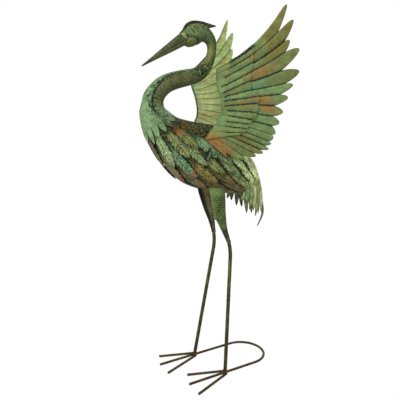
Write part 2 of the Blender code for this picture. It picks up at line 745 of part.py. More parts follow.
build_trunk()
build_neck()
build_beak()
build_crest()
for row_number, (row_root, row_leaves, row_edge) in enumerate(LEAF_ROWS, 1):
    build_leaf_row(row_number, row_root, row_leaves, row_edge)
for wing_label, wing_side in (("left", -1), ("right", 1)):
    build_wing(wing_label, wing_side)
    build_wing_fixing(wing_label, wing_side)
build_thighs()
build_tie()
LEFT_HEEL = (STRIDE / 2, -STANCE / 2)
RIGHT_HEEL = (-STRIDE / 2, STANCE / 2)
build_leg("left", LEFT_THIGH, LEFT_KNEE, LEFT_HEEL)
build_leg("right", RIGHT_THIGH, RIGHT_KNEE, RIGHT_HEEL)
build_toes("left", -1, LEFT_HEEL)
build_toes("right", 1, RIGHT_HEEL)
build_rear_loop(LEFT_HEEL, RIGHT_HEEL)
build_tail()
stand_on_origin()
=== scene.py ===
"""Garden heron statue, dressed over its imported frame: embossed sheet steel under an aged green finish.

Metres, +Z up. The bird looks along -X and its left side is -Y. The sizes repeat those of the part's source.
"""

import math

import bmesh
import bpy
import numpy as np
from mathutils import Matrix, Vector


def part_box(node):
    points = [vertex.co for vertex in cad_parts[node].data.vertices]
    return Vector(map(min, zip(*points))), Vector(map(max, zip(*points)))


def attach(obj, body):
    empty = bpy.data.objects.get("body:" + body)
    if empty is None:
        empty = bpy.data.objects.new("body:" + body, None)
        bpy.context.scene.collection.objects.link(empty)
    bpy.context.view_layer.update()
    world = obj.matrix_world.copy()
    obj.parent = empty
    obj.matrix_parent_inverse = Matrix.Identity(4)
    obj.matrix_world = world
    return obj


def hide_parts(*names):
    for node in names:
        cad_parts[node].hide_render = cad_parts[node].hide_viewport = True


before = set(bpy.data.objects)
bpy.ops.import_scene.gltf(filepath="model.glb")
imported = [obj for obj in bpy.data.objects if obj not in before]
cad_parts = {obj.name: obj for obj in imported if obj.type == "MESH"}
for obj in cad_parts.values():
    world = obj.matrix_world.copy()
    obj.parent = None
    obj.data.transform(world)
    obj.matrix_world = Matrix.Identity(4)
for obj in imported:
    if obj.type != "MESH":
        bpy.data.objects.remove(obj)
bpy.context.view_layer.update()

# Stock and clearances, in metres like every size below
SHEET = 0.0012
WING_SHEET = 0.0016
LEG_ROD = 0.0115
FOOT_ROD = 0.0080
TIE_ROD = 0.0040
GAP = 0.0004

# Camera: place, direction and focal length in millimetres
CAMERA_PLACE = (-0.7695, -1.2211, 0.8324)
CAMERA_AIM = (0.5052, 0.8408, -0.1942)
CAMERA_LENS = 43.38

# Trunk: breast or belly point (x, z), back point (x, z) and half width, from the neck to the tail
TRUNK = (
    (-0.222, 0.816, -0.150, 0.820, 0.035),
    (-0.216, 0.786, -0.118, 0.799, 0.043),
    (-0.201, 0.744, -0.075, 0.787, 0.051),
    (-0.175, 0.698, -0.030, 0.779, 0.057),
    (-0.139, 0.651, 0.016, 0.771, 0.059),
    (-0.094, 0.615, 0.060, 0.745, 0.059),
    (-0.046, 0.595, 0.101, 0.712, 0.057),
    (0.005, 0.581, 0.133, 0.680, 0.052),
    (0.054, 0.570, 0.156, 0.647, 0.045),
    (0.093, 0.562, 0.170, 0.610, 0.035),
    (0.120, 0.559, 0.170, 0.584, 0.021),
)
TRUNK_TAPER = 0.22  # how much narrower the back is than the belly
TRUNK_START = 0.14

# Neck and head: centre (x, z) and radius, from the beak's seam to the top of the breast
NECK = (
    (-0.0925, 1.0090, 0.0165),
    (-0.0768, 1.0150, 0.0236),
    (-0.0550, 1.0250, 0.0290),
    (-0.0290, 1.0300, 0.0240),
    (-0.0105, 1.0215, 0.0192),
    (0.0012, 1.0070, 0.0158),
    (0.0040, 0.9870, 0.0138),
    (-0.0005, 0.9670, 0.0140),
    (-0.0110, 0.9460, 0.0168),
    (-0.0290, 0.9265, 0.0205),
    (-0.0530, 0.9130, 0.0218),
    (-0.0850, 0.9060, 0.0234),
    (-0.1190, 0.8980, 0.0244),
    (-0.1460, 0.8880, 0.0255),
    (-0.1670, 0.8730, 0.0270),
    (-0.1825, 0.8540, 0.0293),
    (-0.1868, 0.8340, 0.0317),
)
NECK_FLATNESS = 0.90
COLLAR_LIFT = 0.0061
COLLAR_SHEET = 0.0007
COLLAR_ROWS = 6
HEAD_RELIEF_END = 2.2
NECK_END = len(NECK) - 1
HEM_END = NECK_END + COLLAR_ROWS

# Border between the neck's green outer side and its brown inner side: station and angle from the nape
NECK_BORDER = ((9.0, 150), (12.0, 146), (13.0, 138), (13.8, 128), (14.6, 122), (16.0, 116), (17.5, 110), (19.0, 100))

# Collar hem: trunk station of the tips by angle from the back, and the slots between them
HEM_ANGLES = (0.0, 38.0, 70.0, 95.0, 117.0, 139.0, 160.0, 180.0)
HEM_TIPS = (0.60, 0.85, 1.25, 1.66, 1.82, 2.02, 2.38, 2.22)
HEM_SLOTS = (20.0, 55.0, 84.0, 107.0, 128.0, 150.0, 170.0)
SLOT_DEPTHS = (0.20, 0.30, 0.46, 0.62, 0.78, 0.86, 0.66)

# Beak and crest
BEAK_TIP = (-0.2178, 0.9330)
BEAK_BASE_RADIUS = 0.0172
BEAK_TIP_RADIUS = 0.0016
CREST_STATIONS = (0.05, 0.5, 1.0, 1.5, 2.0, 2.5, 3.0, 3.4)
CREST_LEAVES = 2.9
CREST_TIP = (0.0171, 1.0545)
CREST_HEIGHT = 0.0082
CREST_WIDTH = 0.0060

# Leaf feathers
LEAF_TIP_LIFT = 0.0066
LEAF_ROOT_LIFT = 0.0008
LEAF_RIB = 0.0010
LEAF_SHEET = SHEET * 0.8
LEAF_MAP_SCALE = 10
LEAF_LAST_STATION = 9.97

# Wings: the half spread grows from the root by a slope and a bend in x and z, and the low front part flares
WING_ROOT = (-0.0072, 0.8226)
WING_HALF_SPREAD = 0.0651
WING_SLOPE = (0.33, 0.14)
WING_BEND = (0.25, 0.10)
WING_FLARE = 0.31
WING_FLARE_TOP = 0.80
WING_FLARE_REACH = 0.13
FEATHER_RELIEF = 0.0009
# Side-view points (x, z), from the top: the root edge, the feathers' tips and the notches between them, and the ends
# of the lines that part the coverts
WING_ROOT_EDGE = (
    (-0.027, 0.928),
    (-0.024, 0.888),
    (-0.011, 0.853),
    (-0.006, 0.815),
    (-0.0165, 0.784),
    (-0.039, 0.7555),
    (-0.054, 0.735),
)
FLIGHT_TIPS = (
    (0.156, 1.0972), (0.178, 1.063), (0.174, 1.006), (0.206, 0.984), (0.2127, 0.927), (0.198, 0.886),
    (0.187, 0.850), (0.177, 0.811), (0.170, 0.780), (0.162, 0.751), (0.157, 0.734), (0.152, 0.717),
    (0.147, 0.701), (0.129, 0.689), (0.106, 0.680), (0.073, 0.671), (0.014, 0.683),
)
FLIGHT_NOTCHES = (
    (0.137, 1.027), (0.161, 1.007), (0.165, 0.978), (0.160, 0.928), (0.176, 0.892), (0.164, 0.861),
    (0.150, 0.829), (0.149, 0.799), (0.150, 0.771), (0.151, 0.745), (0.144, 0.724), (0.133, 0.712),
    (0.122, 0.701), (0.101, 0.692), (0.067, 0.685), (0.0125, 0.696),
)
COVERT_TIPS = (
    (0.066, 0.986), (0.066, 0.968), (0.066, 0.946), (0.065, 0.921), (0.064, 0.897), (0.069, 0.872),
    (0.096, 0.856), (0.092, 0.836), (0.094, 0.810), (0.082, 0.790), (0.073, 0.777), (0.066, 0.764),
    (0.056, 0.752), (0.038, 0.744),
)
FAN_MARGIN = 0.90
# Share of the root edge where each covert starts, and share of a feather's length where its black line starts
COVERT_ROOTS = (0.0, 0.008, 0.063, 0.133, 0.222, 0.297, 0.342, 0.385, 0.442, 0.492, 0.55, 0.65, 0.717, 0.82, 1.0)
COVERT_LINE_STARTS = (0.30, 0.30, 0.05, 0.04, 0.04, 0.20, 0.30, 0.55)
FLIGHT_LINE_STARTS = ((0, 0.28), (12, 0.28), (14, 0.50), (15, 0.80), (16, 0.95))
FLIGHT_BOW = 0.075
FLIGHT_BOW_FADE = 2.4
COVERT_BOW = 0.030
COVERT_DOME = 0.0062
COVERT_CLEARANCE = 0.0012

# Wing fixing: the sleeve sits at a station and angle of the trunk. The grip's points are (x, z, step outward).
SLEEVE_STATION, SLEEVE_ANGLE = 4.42, 96.0
SLEEVE_WIDTH, SLEEVE_HEIGHT, SLEEVE_DEPTH = 0.016, 0.028, 0.0062
SLEEVE_WALL = 0.0014
SLEEVE_LEAN = 28.0
TAB_THICKNESS = 0.0016
TAB_HOLD = 0.018
TAB_CLEARANCE = 0.0006
TAB_NECK = 0.0056
TAB_GRIP = ((-0.014, 0.772, 0.0), (-0.030, 0.744, 0.0), (-0.0360, 0.7195, 0.0006))

# Thighs: centre (x, y, z) and half length along X of the folded sheet, top to bottom
LEFT_THIGH = (
    (-0.003, -0.023, 0.622, 0.0270),
    (0.005, -0.034, 0.576, 0.0258),
    (0.0065, -0.045, 0.513, 0.0205),
    (0.0180, -0.048, 0.470, 0.0120),
    (0.0310, -0.051, 0.433, 0.0078),
    (0.0350, -0.052, 0.422, 0.0070),
)
RIGHT_THIGH = (
    (-0.004, 0.023, 0.622, 0.0270),
    (0.004, 0.034, 0.576, 0.0258),
    (0.0240, 0.045, 0.515, 0.0195),
    (0.0350, 0.048, 0.475, 0.0120),
    (0.0440, 0.050, 0.440, 0.0078),
    (0.0465, 0.051, 0.429, 0.0070),
)
THIGH_FLATNESS = (0.95, 0.50)
THIGH_CREASE = 0.30
# By side: turn and strength of the light ridge (rubbed paint on the crease, with a painted highlight), and strength of
# the painted shade on the inside
THIGH_RIDGE = {-1: (180, 0.3), 1: (258, 1.0)}
THIGH_SHADE = {-1: 0.0, 1: 1.5}
THIGH_SHADE_TURN = 196
TIE_HEIGHT = 0.482

# Legs and feet
STANCE = 0.1466
STRIDE = 0.0250
LEFT_KNEE = (0.0410, -0.054, 0.392)
RIGHT_KNEE = (0.0520, 0.054, 0.394)
KNEE_ROUNDING = 0.022
MIDDLE_TOE = 0.1300
LEFTWARD_TOE = 0.1430
RIGHTWARD_TOE = 0.1200
TOE_SPREAD = 23.8
LOOP_END = 0.2080
LEFT_HEEL = (STRIDE / 2, -STANCE / 2)
RIGHT_HEEL = (-STRIDE / 2, STANCE / 2)
FOOT_HEIGHT = FOOT_ROD / 2
HEEL_WELD = (0.0085, 0.0095, 0.0042)
THIGH_HOLD = 0.006
TIE_HOLD = 0.001

# Tail: trunk angle, tip (x, |y|, z) and turn in plan, in degrees. The curl's points are (x, z).
TAIL_STRIPS = (
    (124.0, 0.088, 0.036, 0.537, 6.0),
    (108.0, 0.108, 0.037, 0.522, 12.0),
    (90.0, 0.130, 0.034, 0.505, 22.0),
    (72.0, 0.150, 0.027, 0.489, 38.0),
    (52.0, 0.166, 0.018, 0.477, 58.0),
    (34.0, 0.187, 0.012, 0.488, 62.0),
    (14.0, 0.191, 0.009, 0.497, 250.0),
)
TAIL_STRIP_START = 8.9
TAIL_STRIP_HALF_WIDTH = 0.0084
TAIL_STRIPS_PER_SIDE = 8
TAIL_STRIPS_IN_CAD = 5
TAIL_BULGE = np.array([0.004, 0.003, 0.004])
TAIL_CURL = (
    (0.1780, 0.606), (0.1850, 0.575), (0.1935, 0.540), (0.2020, 0.508), (0.2040, 0.484),
    (0.1960, 0.462), (0.1835, 0.442),
)
TAIL_CURL_WIDTH = 0.0135

# From the source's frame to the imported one
SHIFT = np.array([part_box("left_middle_toe")[1].x - STRIDE / 2, 0.0, 0.0])

# Paints of the finish, linear, and how much of their strength the bright studio light leaves them
PAINT_DEPTH = (0.60, 0.60, 0.50)
MINT = (0.225, 0.345, 0.20)
TEAL = (0.125, 0.245, 0.14)
GOLD = (0.185, 0.175, 0.055)
RUST = (0.26, 0.105, 0.035)
BLUSH = (0.30, 0.105, 0.06)
BLACK = (0.010, 0.012, 0.006)


# ---------------------------------------------------------------- camera and light

def put(name, data):
    item = bpy.data.objects.new(name, data)
    bpy.context.scene.collection.objects.link(item)
    return item


def point_at(item, location, direction):
    item.location = location
    item.rotation_mode = "QUATERNION"
    item.rotation_quaternion = Vector(direction).to_track_quat("-Z", "Y")


def set_camera():
    """Camera at the photograph's place: azimuth 31 degrees, pitched 11 degrees down."""
    data = bpy.data.cameras.new("camera")
    data.sensor_width = 36.0
    data.lens = CAMERA_LENS
    camera = put("camera", data)
    point_at(camera, Vector(CAMERA_PLACE) + Vector(SHIFT), CAMERA_AIM)
    bpy.context.scene.camera = camera


def area_light(name, location, target, size, power):
    data = bpy.data.lights.new(name, "AREA")
    data.shape = "DISK"
    data.size = size
    data.energy = power
    point_at(put(name, data), location, Vector(target) - Vector(location))


def set_studio():
    """White surroundings, two lamps and an even white floor."""
    bpy.context.scene.view_settings.view_transform = "Standard"
    world = bpy.data.worlds.new("studio")
    world.use_nodes = True
    sky = world.node_tree.nodes["Background"]
    sky.inputs["Color"].default_value = (1.0, 1.0, 1.0, 1.0)
    sky.inputs["Strength"].default_value = 1.0
    bpy.context.scene.world = world
    area_light("key", (-2.0, -1.3, 2.7), (0, 0, 0.7), 0.9, 130.0)
    area_light("back", (2.0, 1.6, 1.9), (0, 0, 0.7), 1.2, 40.0)
    mesh = bpy.data.meshes.new("floor")
    mesh.from_pydata([(-3, -3, 0), (3, -3, 0), (3, 3, 0), (-3, 3, 0)], [], [(0, 1, 2, 3)])
    floor = put("floor", mesh)
    material = bpy.data.materials.new("pale_floor")
    material.use_nodes = True
    shader = material.node_tree.nodes["Principled BSDF"]
    shader.inputs["Base Color"].default_value = (0.0, 0.0, 0.0, 1.0)
    shader.inputs["Specular IOR Level"].default_value = 0.0
    shader.inputs["Emission Color"].default_value = (1.0, 1.0, 1.0, 1.0)
    shader.inputs["Emission Strength"].default_value = 1.0
    mesh.materials.append(material)


# ---------------------------------------------------------------- node trees

class Wire:
    """A node's output that stands in Python expressions, in a shader or a geometry tree."""

    def __init__(self, tree, socket):
        self.tree = tree
        self.socket = socket

    def math(self, operation, *others):
        return node(self.tree, "ShaderNodeMath", {"operation": operation}, (self, *others))

    def __add__(self, other):
        return self.math("ADD", other)

    __radd__ = __add__

    def __mul__(self, other):
        return self.math("MULTIPLY", other)

    __rmul__ = __mul__

    def __sub__(self, other):
        return self.math("SUBTRACT", other)

    def __rsub__(self, other):
        return node(self.tree, "ShaderNodeMath", {"operation": "SUBTRACT"}, (other, self))

    def __truediv__(self, other):
        return self.math("DIVIDE", other)


def node(tree, kind, settings=None, values=(), outlet=0):
    """Add a node: its settings first, then the values or links of its sockets. Returns one output."""
    made = tree.nodes.new(kind)
    for name, value in (settings or {}).items():
        setattr(made, name, value)
    pairs = values.items() if isinstance(values, dict) else enumerate(values)
    for key, value in pairs:
        if isinstance(value, Wire):
            tree.links.new(value.socket, made.inputs[key])
        elif value is not None:
            made.inputs[key].default_value = value
    return Wire(tree, made.outputs[outlet]) if len(made.outputs) else None


def rgba(colour, depth=(1.0, 1.0, 1.0)):
    return colour if isinstance(colour, Wire) else (*np.multiply(colour, depth), 1.0)


def tint(tree, under, over, share, mode="MIX"):
    """Lay one colour over another by a share."""
    settings = {"data_type": "RGBA", "blend_type": mode, "clamp_factor": True}
    depth = PAINT_DEPTH if mode == "MIX" else (1.0, 1.0, 1.0)
    return node(tree, "ShaderNodeMix", settings, {0: share, 6: rgba(under, depth), 7: rgba(over, depth)}, 2)


def coats(tree, colour, *layers):
    """Lay coats in order over a colour, each a paint and its share, and a blend mode where it isn't MIX."""
    for layer in layers:
        colour = tint(tree, colour, *layer)
    return colour


def ease(value, low, high):
    """0 at low, 1 at high, eased between. It falls where low is above high."""
    settings = {"interpolation_type": "SMOOTHSTEP"}
    if low < high:
        return node(value.tree, "ShaderNodeMapRange", settings, {0: value, 1: low, 2: high})
    return 1 - node(value.tree, "ShaderNodeMapRange", settings, {0: value, 1: high, 2: low})


def reading(tree, name, outlet="Fac"):
    """Value stored on the mesh's points."""
    return node(tree, "ShaderNodeAttribute", {"attribute_name": name}, (), outlet)


def place(tree, squash=(1.0, 1.0, 1.0), offset=(0.0, 0.0, 0.0)):
    """Object coordinates, stretched and moved."""
    spot = node(tree, "ShaderNodeTexCoord", None, (), "Object")
    return node(tree, "ShaderNodeMapping", None, {"Vector": spot, "Location": offset, "Scale": squash})


def noise(tree, scale, detail=3.0, spot=None, rough=0.55, offset=0.0):
    """Cloudy value from 0 to 1 whose patches are about 1 / scale metres."""
    spot = spot or place(tree, offset=(offset, offset, offset))
    values = {"Vector": spot, "Scale": scale, "Detail": detail, "Roughness": rough}
    return node(tree, "ShaderNodeTexNoise", None, values)


def skin_place(tree):
    """The piece's flat map, and its two parts: metres around and along the piece."""
    flat = node(tree, "ShaderNodeUVMap", {"uv_map": "skin"})
    around = node(tree, "ShaderNodeSeparateXYZ", None, {0: flat}, 0)
    return flat, around, Wire(tree, around.socket.node.outputs[1])


def new_finish(name):
    """Empty material and its tree."""
    material = bpy.data.materials.new(name)
    material.use_nodes = True
    material.node_tree.nodes.clear()
    return material, material.node_tree


def weather(tree, colour, relief=None, depth=0.5, rust=0.25, dark=0.6, rough=0.56, metal=0.10):
    """Aged paint on steel: mottled, pitted, with rust blooms. Relief is in units of depth millimetres.

    Returns what close_finish takes after the material: colour, roughness, metallic and height.
    """
    mottle = noise(tree, 62.0, 5.0, rough=0.62)
    blots = noise(tree, 150.0, 4.0, rough=0.6, offset=3.1)
    grain = noise(tree, 760.0, 2.0, offset=5.7)
    blooms = noise(tree, 95.0, 5.0, rough=0.68, offset=9.3)
    colour = coats(
        tree, colour,
        ((0.50, 0.52, 0.46), ease(mottle, 0.52, 0.36) * dark, "MULTIPLY"),
        ((1.35, 1.38, 1.30), ease(mottle, 0.52, 0.68) * 0.6, "MULTIPLY"),
        ((0.62, 0.62, 0.52), ease(blots, 0.56, 0.66) * dark, "MULTIPLY"),
        (RUST, ease(blooms, 0.60, 0.72) * rust),
    )
    pits = ease(grain, 0.62, 0.70)
    colour = tint(tree, colour, BLACK, pits * 0.45)
    roughness = (mottle - 0.5) * 0.4 + pits * 0.2 + rough
    metallic = ease(blots, 0.60, 0.35) * metal * 2
    height = mottle * 0.22 + blots * 0.12 - pits * 0.05
    if relief is not None:
        height = relief * depth + height
    return colour, roughness, metallic, height


def close_finish(material, colour, roughness, metallic, height, strength=0.9, gloss=0.10):
    tree = material.node_tree
    normal = node(tree, "ShaderNodeBump", None, {"Strength": strength, "Distance": 0.001, "Height": height})
    values = {"Base Color": rgba(colour), "Roughness": roughness, "Metallic": metallic, "Normal": normal}
    values["Specular IOR Level"] = gloss
    shader = node(tree, "ShaderNodeBsdfPrincipled", None, values)
    node(tree, "ShaderNodeOutputMaterial", None, {"Surface": shader})
    return material


def scales(around, along, width, length):
    """Rows of scales of that width and length: nearness to a scale's lower edge, and rise towards that edge. The
    finishes paint the nearness black as painted shadow under the edge.
    """
    row = along / length
    number = row.math("FLOOR")
    u = (around / width + number * 0.5).math("FRACT") - 0.5
    w = row.math("FRACT")
    under = w - (1 - u * u * 2.4)
    line = ease(under.math("ABSOLUTE"), 0.26, 0.05)
    rise = ease(under, 0.05, -0.05) * (w + u * u * 1.2)
    return line, rise


# ---------------------------------------------------------------- shapes

def through(points, stations):
    """Smooth curve through rows of numbers, read at fractional row numbers."""
    points = np.asarray(points, float)
    stations = np.clip(np.asarray(stations, float), 0.0, len(points) - 1.0)
    padded = np.concatenate([[2 * points[0] - points[1]], points, [2 * points[-1] - points[-2]]])
    first = np.minimum(stations.astype(int), len(points) - 2)
    t = (stations - first)[..., None]
    a, b, c, d = (padded[first + step] for step in range(4))
    return 0.5 * (2 * b + (c - a) * t + (2 * a - 5 * b + 4 * c - d) * t**2 + (3 * b - a - 3 * c + d) * t**3)


def trunk_points(stations, angles, lift):
    """Points above the trunk's skin. Angle 0 is the back, half a turn the breast, and +Y lies between."""
    stations, angles, lift = np.broadcast_arrays(stations, angles, lift)
    rows = through(TRUNK, stations)
    half = (rows[..., 2:4] - rows[..., 0:2]) / 2
    centre = rows[..., 0:2] + half
    length = np.linalg.norm(half, axis=-1)
    up = half / length[..., None]
    across = rows[..., 4]
    c, s = np.cos(angles), np.sin(angles)
    normal_up, normal_side = c / length, s / across
    size = np.hypot(normal_up, normal_side)
    in_plane = length * c + lift * normal_up / size
    side = across * s * (1 - TRUNK_TAPER * c) + lift * normal_side / size
    points = centre + up * in_plane[..., None]
    return np.stack([points[..., 0], side, points[..., 1]], axis=-1)


def neck_ring(station, angles, lift=0.0):
    """Ring round the neck, square to it. Angle 0 is the crown, then the nape of the bent neck."""
    step = 0.05
    x, z, radius = through(NECK, station)
    ahead = through(NECK, min(station + step, len(NECK) - 1))
    behind = through(NECK, station - step) if station > step else np.array(BEAK_TIP)
    if station <= step:
        ahead = np.array([x, z])
    along = Vector((ahead[0] - behind[0], ahead[1] - behind[1])).normalized()
    up = np.array([-along.y, along.x])
    reach = radius + lift
    c, s = np.cos(angles), np.sin(angles)
    return np.stack([x + up[0] * reach * c, reach * NECK_FLATNESS * s, z + up[1] * reach * c], axis=-1)


def grid_faces(rows, columns, wrap=False, flip=False):
    """Quads of a grid, and for each corner its row and column, where a closed grid's last column isn't the first."""
    spans = columns if wrap else columns - 1
    r, c = np.meshgrid(np.arange(rows - 1), np.arange(spans), indexing="ij")
    r, c = r.ravel(), c.ravel()
    corners = [(r, c), (r + 1, c), (r + 1, c + 1), (r, c + 1)]
    if flip:
        corners.reverse()
    faces = np.stack([row * columns + column % columns for row, column in corners], axis=1)
    places = np.stack([np.stack([row, column], axis=1) for row, column in corners], axis=1)
    return faces, places


def add_values(mesh, values):
    """Store numbers and colours for each point, for the finishes to read."""
    for name, numbers in values.items():
        numbers = np.asarray(numbers, np.float32)
        if numbers.shape[-1] == 3 and numbers.ndim > 1 and numbers.size == 3 * len(mesh.vertices):
            colours = np.ones((len(mesh.vertices), 4), np.float32)
            colours[:, :3] = numbers.reshape(-1, 3)
            mesh.attributes.new(name, "FLOAT_COLOR", "POINT").data.foreach_set("color", colours.ravel())
        else:
            mesh.attributes.new(name, "FLOAT", "POINT").data.foreach_set("value", numbers.ravel())


def outward(mesh):
    """Turn the faces of a closed mesh outward."""
    shape = bmesh.new()
    shape.from_mesh(mesh)
    bmesh.ops.recalc_face_normals(shape, faces=shape.faces)
    shape.to_mesh(mesh)
    shape.free()


def smooth(mesh, degrees=40.0):
    mesh.shade_smooth()
    mesh.set_sharp_from_angle(angle=math.radians(degrees))


def new_piece(name, points, faces, finishes, values=None, degrees=40.0):
    mesh = bpy.data.meshes.new(name)
    mesh.from_pydata((np.asarray(points).reshape(-1, 3) + SHIFT).tolist(), [], faces)
    add_values(mesh, values or {})
    item = put(name, mesh)
    for finish in finishes:
        mesh.materials.append(finish)
    smooth(mesh, degrees)
    return item


def loft(name, grid, finish, values=None, skin=None, degrees=40.0):
    """Closed piece through rings, capped at both ends. skin is its flat map (rows, columns + 1, 2) in metres."""
    rows, columns = grid.shape[:2]
    faces, places = grid_faces(rows, columns, wrap=True)
    caps = [list(range(columns)), list(range((rows - 1) * columns, rows * columns))]
    item = new_piece(name, grid, faces.tolist() + caps, [finish], values, degrees)
    if skin is not None:
        flat = skin[places[..., 0], places[..., 1]].reshape(-1, 2)
        flat = np.concatenate([flat, np.zeros((2 * columns, 2))]).astype(np.float32)
        item.data.uv_layers.new(name="skin").data.foreach_set("uv", flat.ravel())
    outward(item.data)
    smooth(item.data, degrees)
    return item


def add_wall(item, thickness, offset):
    wall = item.modifiers.new("wall", "SOLIDIFY")
    wall.thickness = thickness
    wall.offset = offset
    return wall


def sheet(name, grid, thickness, offset, finishes, values=None, flip=False, rim=0):
    """Sheet metal from a grid of points. With two finishes the second is the back's."""
    rows, columns = grid.shape[:2]
    faces, _ = grid_faces(rows, columns, flip=flip)
    item = new_piece(name, grid, faces.tolist(), finishes, values)
    wall = add_wall(item, thickness, offset)
    wall.use_even_offset = False
    wall.material_offset = len(finishes) - 1
    wall.material_offset_rim = rim
    return settle(item)


def settle(item, degrees=40.0):
    """Turn what the modifiers make into a plain mesh and drop them."""
    bpy.context.view_layer.update()
    graph = bpy.context.evaluated_depsgraph_get()
    made = bpy.data.meshes.new_from_object(item.evaluated_get(graph), preserve_all_data_layers=True, depsgraph=graph)
    made.name = item.name
    item.modifiers.clear()
    item.data = made
    smooth(made, degrees)
    return item


def stand_for(item, slot, *nodes):
    """Hand the piece over: the slot is not used; the piece is attached to the root and the CAD nodes that it replaces
    are hidden.
    """
    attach(item, "root")
    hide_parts(*nodes)


def skin_map(grid, girth):
    """Flat map of rings: around in metres at an even girth, and along their centres."""
    around = np.linspace(0, girth, grid.shape[1] + 1)
    steps = np.linalg.norm(np.diff(grid.mean(axis=1), axis=0), axis=1)
    along = np.concatenate([[0.0], np.cumsum(steps)])
    return np.stack(np.broadcast_arrays(around[None, :], along[:, None]), axis=-1)


def bump_at(distance):
    """1 at no distance, falling off as a bell curve."""
    return np.exp(-distance**2)


def soft(value, low, high):
    """0 at low, 1 at high, eased between, for arrays."""
    t = np.clip((value - low) / (high - low), 0, 1)
    return t * t * (3 - 2 * t)


def turns(columns):
    """Angles of a ring's points."""
    return np.linspace(0, 2 * math.pi, columns, endpoint=False)


def span(angles):
    """Angle from the crown, the same on both sides, in degrees."""
    degrees = np.degrees(angles) % 360
    return np.minimum(degrees, 360 - degrees)


# ---------------------------------------------------------------- trunk

def back_finish():
    """Dark engraved back: scales crossed by wavy strokes, each scale lighter towards its raised edge as painted
    highlight, with a black line at that edge as painted shadow.
    """
    material, tree = new_finish("engraved_back")
    _, around, along = skin_place(tree)
    warp = (noise(tree, 90.0, 3.0) - 0.5) * 0.016
    line, rise = scales(around + warp, along + warp, 0.017, 0.0125)
    waves = (around * 900 + (noise(tree, 120.0, 2.0, offset=2.0) - 0.5) * 14).math("SINE") * 0.5 + 0.5
    waves = waves * ease(noise(tree, 70.0, 2.0, offset=4.0), 0.40, 0.55)
    # Painted highlight: each scale lighter towards its raised edge, mottled by noise
    light = ease(rise + noise(tree, 45.0, 3.0) * 0.6, 0.5, 1.2)
    colour = tint(tree, (0.040, 0.045, 0.018), (0.15, 0.165, 0.060), light)
    colour = coats(
        tree, colour,
        ((0.12, 0.075, 0.026), ease(noise(tree, 30.0, 3.0, offset=1.0), 0.52, 0.66) * 0.7),
        (BLACK, ease(waves, 0.55, 0.75) * 0.9),
        # Painted shadow: black line under each scale's edge
        (BLACK, line * 0.85),
    )
    relief = rise - line * 0.8 - ease(waves, 0.6, 0.9) * 0.4
    return close_finish(material, *weather(tree, colour, relief, 0.9, rough=0.68, metal=0.02), gloss=0.05)


def build_trunk():
    stations = np.linspace(TRUNK_START, len(TRUNK) - 1, 120)
    grid = trunk_points(stations[:, None], turns(120)[None, :], 0.0)
    item = loft("trunk_shell", grid, back_finish(), None, skin_map(grid, 0.34))
    stand_for(item, "dark_back", "trunk")


# ---------------------------------------------------------------- neck, head, beak, crest

def hem(degrees):
    """Trunk station of the collar's hem before its slots, and how deep the slots cut at each angle."""
    tips = np.interp(degrees, HEM_ANGLES, HEM_TIPS)
    slots = np.array([-HEM_SLOTS[0], *HEM_SLOTS, 360 - HEM_SLOTS[-1]])
    depths = np.array([SLOT_DEPTHS[0], *SLOT_DEPTHS, SLOT_DEPTHS[-1]])
    index = np.clip(np.searchsorted(slots, degrees) - 1, 0, len(slots) - 2)
    place_in = (degrees - slots[index]) / (slots[index + 1] - slots[index])
    depth = depths[index] + (depths[index + 1] - depths[index]) * place_in
    away = np.abs(2 * place_in - 1)
    return tips, depth * (0.50 * away + 0.50 * away**5), away


def cheek_distance(stations, degrees):
    """Distance from the middle of the cheek disc, about 1 at its edge."""
    return np.hypot((stations - 0.80) / 0.86, (degrees - 136) / 46)


def eye_distance(stations, degrees):
    """Distance from the middle of the eye in millimetres."""
    return np.hypot((stations - 0.62) * 17.5, (degrees - 71) * 0.40)


def head_lift(station, degrees):
    """Relief of the head in metres: cheek, brow, eye and the rolled lip where the beak starts."""
    cheek = 1 - soft(cheek_distance(station, degrees), 0.6, 1.1)
    brow = bump_at(np.hypot((station - 1.0) / 0.75, (degrees - 53) / 9))
    eye = eye_distance(station, degrees)
    ball = np.sqrt(np.clip(1 - (eye / 3.4) ** 2, 0, 1))
    socket = bump_at((eye - 4.6) / 1.2)
    lip = bump_at((station - 0.05) / 0.07)
    return 0.0042 * cheek + 0.0012 * brow + 0.0016 * ball - 0.0007 * socket + 0.0007 * lip


